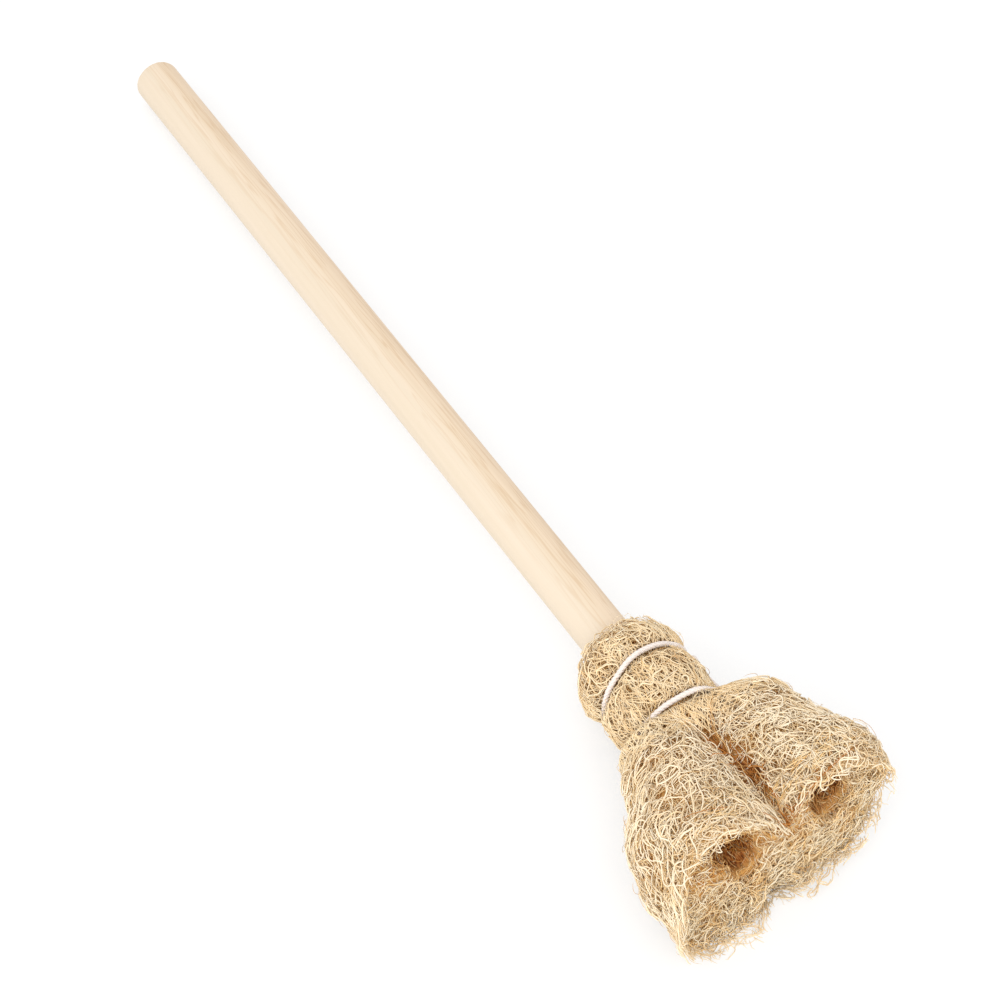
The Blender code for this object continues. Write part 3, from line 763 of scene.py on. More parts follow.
def net(rng, spacing, depth, spread, shortest, longest, thickness, curl, bend, tone, where, sides=3,
        patchy=0.6, heading=None, cut_limits=(0.3, 1.6), step=FIBRE_STEP, weave=0.22):
    """A layer of fibres over the loofah's skin: started by area, walked over the sheet, at a depth under it.

    The number is the sheet's area divided by the spacing and the mean length. The depth is the layer's own
    plus a sine wave along each fibre, and more at its ends. Fibres that reach the layer's limit at the cut
    stop there, or turn back in a loop. The tone is painted shade: it falls with depth and in the crease. It
    falls in the stains too, painted light lifts it near the cut, and the neck's fibres take darker tints.
    Lengths are in millimetres.
    """
    depth, shortest, longest = depth * MM, shortest * MM, longest * MM
    low = 2
    area = skin[low:cut_row, :, 6] * skin[low:cut_row, :, 7]
    patch_rows, patch_columns = PATCH_TABLE
    patches = value_at(
        smooth_noise(rng, patch_rows, patch_columns),
        column_angle[None] / math.tau * patch_columns + 0.0 * area,
        np.arange(low, cut_row)[:, None] / len(skin) * (patch_rows - 2) + 0.0 * area,
    )
    weight = (1.0 - patchy + patchy * 2.0 * patches) * NET_PLACES[where][low:cut_row]
    count = int((area * weight).sum() / (spacing * MM * (shortest + longest) / 2))
    column, row = start_places(rng, skin[low:cut_row], weight, count)
    row = row + low
    length = rng.uniform(shortest, longest, count)
    run = run_of(longest, step)
    follows = (rng.random(count) < value_at(follow_share, column, row)).astype(float)
    own = np.where(follows > 0, either_way(rng, 0.32, count), rng.uniform(-math.pi, math.pi, count))
    if heading is not None:
        follows = np.zeros(count)
        own = either_way(rng, heading, count)
    turning = wander(rng, count, run, curl, bend) * (1.0 - 0.55 * follows[:, None])
    columns, rows = walk(skin, column, row, own, turning, follows, step)
    lace = LACE_SHARE * depth * lowness(column * math.tau / ROUND_COLUMNS)
    limit = cut_row - (rng.uniform(*cut_limits, count) * MM + lace)[:, None] / ROW_STEP
    turned_back = rng.random((count, 1)) < TURNED_BACK
    past = np.where(turned_back, np.maximum(rows - limit, 0.0), 0.0) * ROW_STEP
    columns = columns + past * LOOP_OPENING * np.sign(own)[:, None] / look_up(skin, column, row)[:, 6:7]
    rounding = rng.uniform(*LOOP_ROUNDING, (count, 1)) / ROW_STEP
    rows = np.where(turned_back, limit - np.hypot(rows - limit, rounding), rows)
    inside = (rows > 1.0) & (rows < limit)
    if heading is None:
        inside = inside & (value_at(deep_crease, columns, rows) < rng.uniform(0.25, 1.12, (count, 1)))
    steps = np.minimum(steps_inside(inside), points_in(length, step))
    phase = any_phase(rng, count)
    to_end = np.minimum(run, (steps[:, None] - 1) * step - run)
    dive = DIVE_DEPTH * np.clip(1.0 - to_end / DIVE_LENGTH, 0.0, 1.0) ** 2
    sink = depth + rng.normal(0.0, spread * MM, (count, 1)) + weave * MM * np.sin(run / WEAVE_LENGTH + phase)
    points, out = under(skin, columns, rows, sink + dive)
    radius = tapered(run, steps, varied(rng, thickness * MM, 0.2, count))
    # Painted light: deeper fibres are paler near the open cut end
    near_cut = 1.0 - eased((cut_row - row) * ROW_STEP / PAINTED_LIGHT_END)
    # Painted shade: the tone falls for each millimetre a fibre lies under its layer
    shade = tone - PAINTED_SHADE_BY_DEPTH * (sink.mean(axis=1) - depth) / MM + PAINTED_LIGHT_AT_CUT * near_cut * (1.0 - tone)
    # Painted shade in the deep crease: its fibres' tone falls by a random share
    shade = shade - value_at(deep_crease, column, row) * rng.uniform(*PAINTED_CREASE_SHADE, count)
    stain = value_at(stains, column / ROUND_COLUMNS * stains.shape[1], row / len(skin) * (len(stains) - 1))
    shade = shade - TONE_IN_STAIN * starts(stain, *STAIN_SHOWS) * min(depth / MM, 1.0)
    shade = shade + rng.normal(0.0, TONE_SPREAD, count)
    neck = 1.0 - value_at(in_head, column, row)
    return laid(points, out, radius, steps, shade, 1.0 - rng.random(count) * (1.0 - 0.75 * neck), sides)


def rosettes(rng, centres, rays, shortest, longest, depth, thickness, tone, where):
    """Star-like knots of the net: from each centre, fibres set off evenly all round, bending a little."""
    low, high = rim_row, cut_row - round(ROSETTE_BACK / ROW_STEP)
    column, row = start_places(rng, skin[low:high], NET_PLACES[where][low:high], centres)
    column, row = np.repeat(column, rays), np.repeat(row + low, rays)
    count = centres * rays
    run = run_of(longest)
    own = np.tile(np.arange(rays) * math.tau / rays, centres) + rng.normal(0.0, 0.25, count)
    columns, rows = walk(skin, column, row, own, wander(rng, count, run, 0.25, 0.12))
    steps = np.minimum(steps_inside(rows < cut_row), points_in(rng.uniform(shortest, longest, count)))
    sink = depth + ROSETTE_SINK * (run / longest)[None] + rng.normal(0.0, ROSETTE_ROUGH, (count, 1))
    points, out = under(skin, columns, rows, sink)
    radius = tapered(run, steps, varied(rng, thickness, 0.15, count))
    return laid(points, out, radius, steps, tone + rng.normal(0.0, 0.05, count), rng.random(count))


# The inside of the head
def hollow_sections(along):
    """Each hollow's half width and half height at places along: an ellipse's root, full past the cut."""
    behind = CUT_END - along
    for hollow, narrow in zip(HOLLOWS, MOUTH_SHARES):
        across, up, half_width, half_height, depth = hollow
        share = np.sqrt(np.clip(1.0 - (np.clip(behind, 0.0, None) / depth) ** 2, 1e-4, 1.0))
        share = share * (narrow + (1.0 - narrow) * eased(behind / MOUTH_DEPTH))
        if hollow is LOWER_CHAMBER:
            share = np.where(along > CUT_END - WEB_DEPTH, 1e-2, share)
        yield across, up, half_width * share, half_height * share


def inner_shade_share(points):
    """Painted shade on the inner fibres: full in the torn left mouth, less elsewhere, fading out round each.
    """
    most = np.zeros(points.shape[:-1])
    for (middle, height, half_width, half_height), brown in INNER_SHADE_PLACES:
        size = np.hypot((points[..., 1] - middle) / half_width, (points[..., 2] - height) / half_height)
        most = np.maximum(most, brown * (1.0 - eased((size - 0.75) / 0.35)))
    return most


def clear_of_hollows(points, nearest):
    """Which points lie outside every hollow, whose edge waves round it, at a share of its size."""
    along = points[..., 0] - STICK_SHOWN
    clear = np.full(along.shape, True)
    for middle, height, half_width, half_height in hollow_sections(along):
        across, up = (points[..., 1] - middle) / half_width, (points[..., 2] - height) / half_height
        turn = np.arctan2(up, across)
        wave = 1.0 + 0.1 * np.sin(3.0 * turn + 0.9 + 300.0 * along) + 0.07 * np.sin(5.0 * turn + 2.4)
        clear = clear & (np.hypot(across, up) > nearest * wave)
    return clear


def steps_clear(rng, points, count):
    """How many points of each fibre come before it reaches a hollow, at a random share of its size."""
    return steps_inside(clear_of_hollows(points, rng.uniform(*MOUTH_RAGGED, (count, 1))))


def inner_places(rng, count):
    """Angles and shares of the radius, drawn evenly over the loofah's section at the cut end."""
    total = np.cumsum(skin_radius(column_angle, cut_place(column_angle) - SECTION_BACK) ** 2)
    column = np.searchsorted(total, rng.random(count) * total[-1])
    return (column + rng.random(count)) * math.tau / ROUND_COLUMNS, np.sqrt(rng.random(count)) * INNER_SHARE


def lengthwise_fill(rng, count, shortest, longest, thickness, tone):
    """Fibres inside the head that run to the cut end: a share of the skin's radius, with two sine waves."""
    angle, share = inner_places(rng, count)
    length = rng.uniform(shortest, longest, count)
    end = fill_end(angle, share) - rng.exponential(INNER_ENDS, count)
    run = run_of(longest)
    along = end[:, None] - length[:, None] + run[None]
    every = angle[:, None] + 0.0 * along
    points = on_ray(every, along, share[:, None] * skin_radius(every, along))
    for axis in (1, 2):
        phase = any_phase(rng, count)
        size = rng.uniform(0.2, 0.9, (count, 1)) * MM
        points[..., axis] += size * np.sin(run / INNER_WAVE_LENGTH + phase)
    steps = np.minimum(points_in(length), steps_clear(rng, points, count))
    side = np.broadcast_to(np.array([0.0, 0.0, 1.0]), points.shape)
    last = points[np.arange(count), np.maximum(steps, 1) - 1]
    # The tone is lower towards the axis; painted shade browns it in the hollows and pits
    shade = tone - 0.1 * (1.0 - share) - INNER_SHADE_LOSS * inner_shade_share(last) + rng.normal(0.0, 0.08, count)
    thick = tapered(run, steps, varied(rng, thickness, 0.25, count))
    return laid(points, side, thick, steps, shade, rng.random(count))


def crosswise_fill(rng, count, shortest, longest, shallowest, deepest, thickness, tone):
    """Fibres inside the head that run across it: a turning path in the section, with a little slope."""
    angle, share = inner_places(rng, count)
    along = fill_end(angle, share) - rng.uniform(shallowest, deepest, count)
    start = on_ray(angle, along, share * skin_radius(angle, along))
    run = run_of(longest)
    steps = points_in(rng.uniform(shortest, longest, count))
    way = rng.uniform(0.0, math.tau, (count, 1)) + wander(rng, count, run, 0.7, 0.15)
    slope = rng.normal(0.0, 0.35, (count, 1)) + 0.0 * way
    step = np.stack([np.sin(slope), np.cos(way) * np.cos(slope), np.sin(way) * np.cos(slope)], axis=-1)
    points = start[:, None] + np.cumsum(step, axis=1) * FIBRE_STEP
    turn, along_here, reach = from_axis(points)
    most = skin_radius(turn, along_here) - INNER_CLEAR
    points[..., 1:] *= np.minimum(1.0, most / reach)[..., None]
    steps = np.minimum(steps, steps_clear(rng, points, count))
    end = fill_end(turn, np.minimum(reach / most, 1.0)) + INNER_CLEAR
    steps = np.minimum(steps, steps_inside(along_here < end))
    side = np.broadcast_to(np.array([1.0, 0.0, 0.0]), points.shape)
    thick = tapered(run, steps, varied(rng, thickness, 0.25, count))
    # Painted shade: the tone falls with each millimetre behind the fill's end and browns in hollows and pits
    deep = (fill_end(angle, share) - along) / MM
    shade = tone - 0.12 * deep - INNER_SHADE_LOSS * inner_shade_share(points.mean(axis=1)) + rng.normal(0.0, 0.08, count)
    return laid(points, side, thick, steps, shade, rng.random(count))


def hollow_sheet(across, up, half_width, half_height, depth):
    """A hollow's wall: ellipses round its middle line, sized by a root along it, open at the cut."""
    turn = np.arange(120) * math.tau / 120
    along = CUT_END + np.linspace(-0.97 * depth, 2.0 * MM, 70)
    size = np.sqrt(1.0 - (np.minimum(along - CUT_END, 0.0) / depth) ** 2)[:, None]
    return sheet(np.stack([
        STICK_SHOWN + along[:, None] + 0.0 * turn,
        across + half_width * size * np.cos(turn), up + half_height * size * np.sin(turn),
    ], axis=-1))


def lining(rng, hollow, spacing, back):
    """Fibres on a hollow's wall, walked as net() does and roughened, that end where the inner fibres do."""
    table = hollow_sheet(*hollow)
    shortest, longest = LINING_LENGTHS
    count = int((table[..., 6] * table[..., 7]).sum() / (spacing * (shortest + longest) / 2))
    column, row = start_places(rng, table[:-1], 1.0, count)
    run = run_of(longest)
    own = either_way(rng, 0.4, count)
    own = np.where(rng.random(count) < 0.15, own, rng.uniform(-math.pi, math.pi, count))
    columns, rows = walk(table, column, row, own, wander(rng, count, run, 0.9, 0.3))
    rise = rng.normal(0.0, LINING_ROUGH, (count, 1)) + LINING_WAVE * np.sin(run / WEAVE_LENGTH)
    points, out = under(table, columns, rows, -rise)
    angle, along, reach = from_axis(points)
    skin_here = skin_radius(angle, along)
    edge = fill_end(angle, np.minimum(reach / skin_here, 1.0))
    edge = edge - rng.exponential(LINING_ENDS, (count, 1)) - back
    inside = (rows > 0.5) & (rows < len(table) - 1.5) & (along < edge)
    inside = inside & (reach < skin_here - LINING_SKIN) & clear_of_hollows(points, LINING_CLEAR)
    steps = np.minimum(steps_inside(inside), points_in(rng.uniform(shortest, longest, count)))
    # Painted shade: lining fibres start dark and darken further the deeper they lie in their hollow
    deep = (edge.min(axis=1) - along[:, 0]) / MM
    shade = 0.5 - 0.06 * np.clip(deep, 0.0, 20.0) + rng.normal(0.0, 0.26, count)
    thick = tapered(run, steps, varied(rng, LINING_THICKNESS, 0.25, count))
    return laid(points, -out, thick, steps, shade, rng.random(count))


# Loose ends, and fibres at the string
def comb(rng, count, shortest, longest, deepest, thickness, tone):
    """Fibre ends at the cut: short fibres that run lengthwise in the skin's thickness and stop past it."""
    total = np.cumsum(skin[cut_row, :, 6] * (0.05 + lowness(column_angle)))
    column = np.searchsorted(total, rng.random(count) * total[-1]) + rng.random(count)
    length = rng.uniform(shortest, longest, count)
    row = cut_row + (rng.uniform(-1.0, 1.0, count) * FRINGE_REACH - length) / ROW_STEP
    run = run_of(longest)
    turning = wander(rng, count, run, 0.8, 0.2)
    columns, rows = walk(skin, column, row, rng.normal(0.0, 0.8, count), turning)
    steps = np.minimum(steps_inside(rows < len(skin) - 1.1), points_in(length))
    sink = deepest * rng.random((count, 1)) + FRINGE_WAVE * np.sin(run / FRINGE_WAVE_LENGTH)
    points, out = under(skin, columns, rows, sink)
    radius = tapered(run, steps, varied(rng, thickness, 0.2, count))
    # Painted shade: a fringe fibre's tone falls with its depth in the skin
    shade = tone - 0.06 * sink.mean(axis=1) / MM + rng.normal(0.0, 0.08, count)
    return laid(points, out, radius, steps, shade, rng.random(count))


def loose_hairs(rng, count, thickness):
    """Fine hairs that stand off the net: walked as the net is, and lifted by part of a sine wave."""
    low, most = 4, 24
    column, row = start_places(rng, skin[low:cut_row], NET_PLACES["all over"][low:cut_row], count)
    run = np.arange(most) * FIBRE_STEP
    turning = wander(rng, count, run, 0.6, 0.12)
    columns, rows = walk(skin, column, row + low, rng.uniform(-math.pi, math.pi, count), turning)
    steps = np.minimum(steps_inside((rows > 1) & (rows < cut_row + 2)), rng.integers(6, 13, count))
    share = np.arange(most) / np.maximum(steps[:, None] - 1, 1)
    lift = rng.uniform(0.3, 1.0, (count, 1)) * MM * np.sin(np.clip(share, 0, 1) * math.pi * 0.8)
    points, out = under(skin, columns, rows, -lift)
    radius = tapered(run, steps, np.full(count, thickness))
    return laid(points, out, radius, steps, rng.uniform(0.2, 1.0, count), rng.random(count))


def round_ring(rng, ring, angle, start, way, height):
    """Lengthwise fibres at a turn of string, lifted by a height times the bell curve of the string's groove.

    Each sets off at its start from the ring, one way along the loofah, slanting and bending a little.
    """
    run = np.arange(TURN_POINTS) * FIBRE_STEP
    count = len(angle)
    turn = wander(rng, count, run, 0.5, 0.05)
    from_ring = start + way * np.cumsum(np.cos(turn), axis=1) * FIBRE_STEP
    slant = rng.normal(0.0, 0.5, (count, 1)) * from_ring + np.cumsum(np.sin(turn), axis=1) * FIBRE_STEP
    angle = angle + slant / NECK_RADIUS
    along = ring(angle) + from_ring
    lift = height * bell(from_ring, GROOVE_HALF_WIDTH)
    points = on_ray(angle, along, skin_radius(angle, along) + lift - TURN_SINK)
    side = np.stack([0.0 * angle, np.cos(angle), np.sin(angle)], axis=-1)
    steps = rng.integers(9, TURN_POINTS + 1, count)
    radius = tapered(run, steps, rng.uniform(*TURN_THICKNESS, count) * MM)
    return laid(points, side, radius, steps, rng.normal(0.88, 0.1, count), rng.uniform(0.7, 1.0, count))


def straps(rng, ring, middle, spread, count):
    """Fibres that cross over the string near one angle."""
    angle = rng.normal(math.radians(middle), math.radians(spread), (count, 1))
    return round_ring(rng, ring, angle, -rng.uniform(*STRAP_STARTS, (count, 1)), 1.0, STRAP_HEIGHT)


def gathers(rng, ring, way, count):
    """Fibres that come out from under the string all round and fill its groove on one side."""
    angle = any_phase(rng, count)
    start = way * rng.uniform(*GATHER_STARTS, (count, 1))
    return round_ring(rng, ring, angle, start, way, GROOVE_DEPTH * rng.uniform(*GATHER_HEIGHTS, (count, 1)))


# Materials
def linear(colour):
    """A colour written as on a screen, 0 to 255, as the linear values that shaders use."""
    share = np.array(colour) / 255.0
    return (*np.where(share <= 0.04045, share / 12.92, ((share + 0.055) / 1.055) ** 2.4), 1.0)


def feed(tree, node, inputs):
    """Gives a node its inputs, by name or number: a socket is linked, and any other value is set."""
    for name, value in inputs.items():
        if isinstance(value, bpy.types.NodeSocket):
            tree.links.new(value, node.inputs[name])
        else:
            node.inputs[name].default_value = value


def put(tree, kind, output, inputs=None, **settings):
    """A new shader node with its settings and its inputs; gives one of its outputs."""
    node = tree.nodes.new("ShaderNode" + kind)
    for name, value in settings.items():
        setattr(node, name, value)
    feed(tree, node, inputs or {})
    return node.outputs[output]


def new_material(name, roughness):
    """A material with one Principled shader; gives the material, its node tree and the shader."""
    material = bpy.data.materials.new(name)
    material.use_nodes = True
    tree = material.node_tree
    shader = tree.nodes["Principled BSDF"]
    feed(tree, shader, {"Roughness": roughness, "Specular IOR Level": 0.3})
    return material, tree, shader


def colour_ramp(tree, value, stops):
    """A value's colour on a ramp with the given stops: pairs of a place and a screen colour."""
    colour = put(tree, "ValToRGB", "Color", {"Fac": value})
    elements = colour.node.color_ramp.elements
    while len(elements) < len(stops):
        elements.new(0.5)
    for element, (place, stop) in zip(elements, stops):
        element.position = place
        element.color = linear(stop)
    return colour


def object_places(tree, along=1.0, slope=0.0):
    """Object coordinates, turned about y and scaled along x by a Mapping node."""
    return put(tree, "Mapping", "Vector", {
        "Vector": put(tree, "TexCoord", "Object"), "Rotation": (0.0, slope, 0.0), "Scale": (along, 1.0, 1.0)})


def noise(tree, places, scale, detail=3.0, roughness=0.5):
    """A noise texture on the given places."""
    return put(tree, "TexNoise", "Fac", {
        "Vector": places, "Scale": scale, "Detail": detail, "Roughness": roughness})


def mixed(tree, factor, first, second, blend="MIX"):
    """A colour mix; the factor and each colour may be a socket or a value."""
    return put(tree, "Mix", "Result", {"Factor": factor, "A": first, "B": second},
               data_type="RGBA", blend_type=blend)


def bump(tree, height, distance, strength):
    """The normal that a height gives."""
    return put(tree, "Bump", "Normal", {"Height": height, "Distance": distance, "Strength": strength})


def maths(tree, operation, *values):
    """A Math node's result; each of its values may be a socket or a number."""
    return put(tree, "Math", "Value", dict(enumerate(values)), operation=operation)


def ranged(tree, value, low, high):
    """A value's share of the way from low to high, held between 0 and 1."""
    return put(tree, "MapRange", "Result", {"Value": value, "From Min": low, "From Max": high})


def fibre_colour_group():
    """A group that colours a fibre by its tone, from deep to light, and shifts it by its tint."""
    group = bpy.data.node_groups.new("fibre_colour", "ShaderNodeTree")
    for name, way, kind in (
        ("Tone", "INPUT", "Float"), ("Tint", "INPUT", "Float"), *((name, "INPUT", "Color") for name in STRAW),
        ("Color", "OUTPUT", "Color"), ("Roughness", "OUTPUT", "Float"),
    ):
        group.interface.new_socket(name, in_out=way, socket_type="NodeSocket" + kind)
    given, out = group.nodes.new("NodeGroupInput").outputs, group.nodes.new("NodeGroupOutput")
    colour = mixed(group, ranged(group, given["Tone"], 0.0, 0.5), given["Deep"], given["Middle"])
    colour = mixed(group, ranged(group, given["Tone"], 0.5, 1.0), colour, given["Light"])
    tint = colour_ramp(group, given["Tint"], FIBRE_TINTS)
    feed(group, out, {
        "Color": mixed(group, 1.0, colour, tint, "MULTIPLY"),
        "Roughness": put(group, "MapRange", "Result", {"Value": given["Tint"], "To Min": 0.55, "To Max": 0.8}),
    })
    return group


def fibre_material(name, group, colours):
    """Loofah fibre: the fibre colour group, fed by the tone and tint that the piece's map holds."""
    material, tree, shader = new_material(name, 0.65)
    places = put(tree, "UVMap", "UV", uv_map="OFBake")
    held = put(tree, "SeparateXYZ", "X", {"Vector": places}).node.outputs
    values = {key: linear(colour) for key, colour in colours.items()}
    colour = put(tree, "Group", "Color", {"Tone": held["X"], "Tint": held["Y"], **values}, node_tree=group)
    feed(tree, shader, {
        "Base Color": colour, "Roughness": colour.node.outputs["Roughness"],
        "Normal": bump(tree, noise(tree, places, 300.0, 1.0), 0.01 * MM, 0.4),
    })
    return material


def pulp_material():
    """Felt of fibre deep in the loofah: golden blotches, painted shade streaked brown in hollows, a fibrous
    bump.
    """
    material, tree, shader = new_material("loofah_pulp", 0.9)
    streaks = noise(tree, object_places(tree, along=0.25), 2000.0, 2.0, 0.6)
    gold = colour_ramp(tree, noise(tree, object_places(tree), 260.0), PULP_GOLD)
    # Painted shade: the deep attribute browns the hollows and the bottom of the crease
    deep = put(tree, "Attribute", "Fac", attribute_name="deep")
    feed(tree, shader, {
        "Base Color": mixed(tree, deep, gold, colour_ramp(tree, streaks, PULP_PAINTED_SHADE)),
        "Normal": bump(tree, streaks, 0.4 * MM, 0.8),
    })
    return material


def wood_material():
    """Pale sanded wood: a cool pale side and a warm side with fine grain lines, broad bands and flecks.

    The warm side is painted light: warmer and brighter on the side turned from the lamp, to even out its
    shade. It is the share of the way across the stick towards the angle that side faces, and grain lines fade
    out from it towards the lamp. The grain lines lie where a noise, stretched along the stick, is close to its
    middle value, so they are thin and unbroken.
    """
    material, tree, shader = new_material("pale_wood", 0.5)
    held = put(tree, "SeparateXYZ", "Y", {"Vector": object_places(tree, slope=TABLE_SLOPE)}).node.outputs
    axis_z = SAWN_END[2] * math.cos(TABLE_SLOPE) - SAWN_END[0] * math.sin(TABLE_SLOPE)
    ways = (("Y", SAWN_END[1], math.cos(SHADED_SIDE_ANGLE)), ("Z", axis_z, math.sin(SHADED_SIDE_ANGLE)))
    side = maths(tree, "ADD", *(
        maths(tree, "MULTIPLY", maths(tree, "SUBTRACT", held[axis], middle), part)
        for axis, middle, part in ways
    ))
    # Painted light: the share of the side turned from the lamp, which takes the warmer, brighter ramp
    warm = ranged(tree, side, -0.1 * STICK_RADIUS, 0.95 * STICK_RADIUS)
    lined = ranged(tree, side, -0.45 * STICK_RADIUS, 0.45 * STICK_RADIUS)
    field, bands, flecks = (
        noise(tree, object_places(tree, along, TABLE_SLOPE), *settings)
        for along, *settings in ((0.0012, 1200.0, 1.0, 0.6), (0.004, 480.0, 3.0), (0.05, 1700.0, 1.0))
    )
    off_line = maths(tree, "ABSOLUTE", maths(tree, "SUBTRACT", field, 0.5))
    line = maths(tree, "MULTIPLY", maths(tree, "SUBTRACT", 1.0, ranged(tree, off_line, 0.012, 0.06)), lined)
    colour = mixed(tree, warm, colour_ramp(tree, bands, WOOD_LAMP_SIDE), colour_ramp(tree, bands, WOOD_SHADED_SIDE))
    colour = mixed(tree, maths(tree, "MULTIPLY", line, 0.34), colour, linear(WOOD_LINE))
    fleck = maths(tree, "SUBTRACT", 0.14, maths(tree, "MULTIPLY", ranged(tree, flecks, 0.15, 0.2), 0.14))
    feed(tree, shader, {
        "Base Color": mixed(tree, fleck, colour, linear(WOOD_FLECK)),
        "Roughness": maths(tree, "ADD", 0.45, maths(tree, "MULTIPLY", bands, 0.15)),
        "Normal": bump(tree, maths(tree, "SUBTRACT", bands, line), 0.06 * MM, 0.3),
    })
    return material


def cotton_material():
    """White cotton yarn: soft warm white with fine lengthwise fibre along the ply."""
    material, tree, shader = new_material("white_cotton", 0.9)
    places = put(tree, "Mapping", "Vector", {
        "Vector": put(tree, "UVMap", "UV", uv_map="ply"), "Scale": (900.0, 14.0, 1.0)})
    fuzz = noise(tree, places, 1.0, 3.0, 0.6)
    feed(tree, shader, {
        "Base Color": colour_ramp(tree, fuzz, COTTON),
        "Normal": bump(tree, fuzz, 0.08 * MM, 0.6),
    })
    return material


# The stick and the pulp
def grid_faces(rows, columns):
    """Quads between the points of a grid that is closed round its columns."""
    row, column = np.meshgrid(np.arange(rows - 1), np.arange(columns), indexing="ij")
    here, over = row * columns + column, row * columns + (column + 1) % columns
    return np.stack([here, over, over + columns, here + columns], axis=-1).reshape(-1, 4)


def closed_rings(rings, first, last):
    """Rings of points, each joined to the next and both ends closed to a point: the places and the faces."""
    rows, columns = rings.shape[:2]
    corner, pole = np.arange(columns), np.full(columns, rows * columns)
    after, far = (corner + 1) % columns, (rows - 1) * columns
    ends = [np.stack([corner, after, pole], axis=-1), np.stack([far + after, far + corner, pole + 1], axis=-1)]
    return np.concatenate([rings.reshape(-1, 3), [first], [last]]), [
        grid_faces(rows, columns)[:, ::-1], np.concatenate(ends)]


def make_stick():
    """The stick: rings along x with eased edges, its radius varied by fine lengthwise ridges.

    The ridges are three sine waves round the stick that turn very slowly along it. Each edge is a quarter
    circle, and each end closes to its centre.
    """
    length = STICK_SHOWN + STICK_SEATED
    ease = np.linspace(0.0, math.pi / 2, 6)
    shares = np.linspace(0.0, 1.0, STICK_RINGS)[1:-1]
    edge_along, edge_inset = STICK_EDGE * (1.0 - np.cos(ease)), STICK_EDGE * (1.0 - np.sin(ease))
    middle = STICK_EDGE + shares * (length - 2 * STICK_EDGE)
    x = np.concatenate([edge_along, middle, length - edge_along[::-1]])[:, None]
    inset = np.concatenate([edge_inset, 0.0 * shares, edge_inset[::-1]])[:, None]
    turn = np.arange(STICK_SIDES) * math.tau / STICK_SIDES
    ridge = MM * sum(
        size * np.sin(waves * turn + phase + slow * x / length) for size, waves, phase, slow in RIDGES)
    rings = on_ray(turn, x - STICK_SHOWN, STICK_RADIUS - inset + ridge - RIDGE_SETBACK)
    places, faces = closed_rings(rings, [0.0, 0.0, 0.0], [length, 0.0, 0.0])
    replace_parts(mesh_piece("stick", on_table(places), faces, wood_material()), "handle")


def make_pulp():
    """The closed body of dense fibre inside the loofah: its skin drawn in, and a cap with five hollows.

    The cap's place along is a set distance inside the inner fibres' ends, or each hollow's depth times the
    root of one less the squared share of its half sizes, whichever lies deeper. The attribute holds how much
    painted shade, in the deep colour, each point has: all of it in the hollows and at the bottom of the
    crease.
    """
    angle = column_angle[::2]
    rows = np.arange(rim_row + 8, cut_row, 3)
    drawn = skin[rows][:, ::2]
    sink = np.clip(PULP_SHARE * (skin_reach[rows][:, ::2] - PULP_CORE), PULP_LEAST, PULP_DEPTH)
    body = drawn[..., :3] - sink[..., None] * drawn[..., 3:6]
    end = STICK_SHOWN + cut_place(angle) - PULP_RECESS - WALL_RECESS
    last = int(np.argmax((body[..., 0] > end).any(axis=1)))
    body = body[:last]
    edge = body[-1]
    share = np.linspace(1.0, 0.0, 90)[1:-1, None]
    across, up = share * edge[None, :, 1], share * edge[None, :, 2]
    inward = eased((1.0 - share) * 6.0)
    behind = PULP_RECESS * (0.55 + 0.45 * lowness(angle) * share**2)
    front = edge[None, :, 0] * (1.0 - inward) + (STICK_SHOWN + fill_end(angle, share) - behind) * inward
    hollowed = front.copy()
    for middle, height, half_width, half_height, depth in HOLLOWS:
        size = ((across - middle) / (half_width + HOLLOW_ROOM)) ** 2
        size = size + ((up - height) / (half_height + HOLLOW_ROOM)) ** 2
        wall = STICK_SHOWN + CUT_END - depth * np.sqrt(np.clip(1.0 - size, 0.0, 1.0))
        hollowed = np.minimum(hollowed, np.where(size < 1.0, wall, hollowed))
    cap = np.stack([hollowed, across, up], axis=-1)
    # Painted shade: brown sets in with the depth into each hollow
    in_hollow = np.clip((front - hollowed) / PAINTED_SHADE_SETS_IN, 0.0, 1.0)
    deep = np.concatenate([deep_crease[rows][:last, ::2].ravel(), in_hollow.ravel(), [0.0, 0.0]])
    first = body[0].mean(axis=0) + np.array([PULP_POLE, 0.0, 0.0])
    places, faces = closed_rings(np.concatenate([body, cap]), first, cap[-1].mean(axis=0))
    places = on_table(places)
    places[:, 2] = np.maximum(places[:, 2], PULP_OFF_TABLE)
    pulp = mesh_piece("loofah_pulp", places, faces, pulp_material())
    pulp.data.attributes.new("deep", "FLOAT", "POINT").data.foreach_set("value", deep.astype(np.float32))
    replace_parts(pulp, "loofah")


# The string
def cord_height(angle, along):
    """How far from the axis the string's middle line lies: the skin's most over its width, and its radius."""
    shares = np.linspace(-1.0, 1.0, 7)[:, None]
    below = skin_radius(angle + 0.0 * shares, along + shares * STRING_RADIUS)
    return (below + STRING_RADIUS * np.sqrt(1.0 - shares**2)).max(axis=0) + STRING_RAISED


def cord_run(steps, start_angle, start_ring, start, end_angle, end_ring, end):
    """Angles and places along of the string, between two angles and two distances from a ring."""
    share = np.linspace(0.0, 1.0, steps + 1)
    angle = start_angle + share * (end_angle - start_angle)
    first, last = start_ring(angle) + start, end_ring(angle) + end
    return np.stack([angle, first + share * (last - first)], axis=-1)


def eased_line(line, times):
    """The given line, changed in place: each inner point takes the mean of twice itself and its neighbours."""
    for _ in range(times):
        line[1:-1] = (line[:-2] + 2.0 * line[1:-1] + line[2:]) / 4.0
    return line


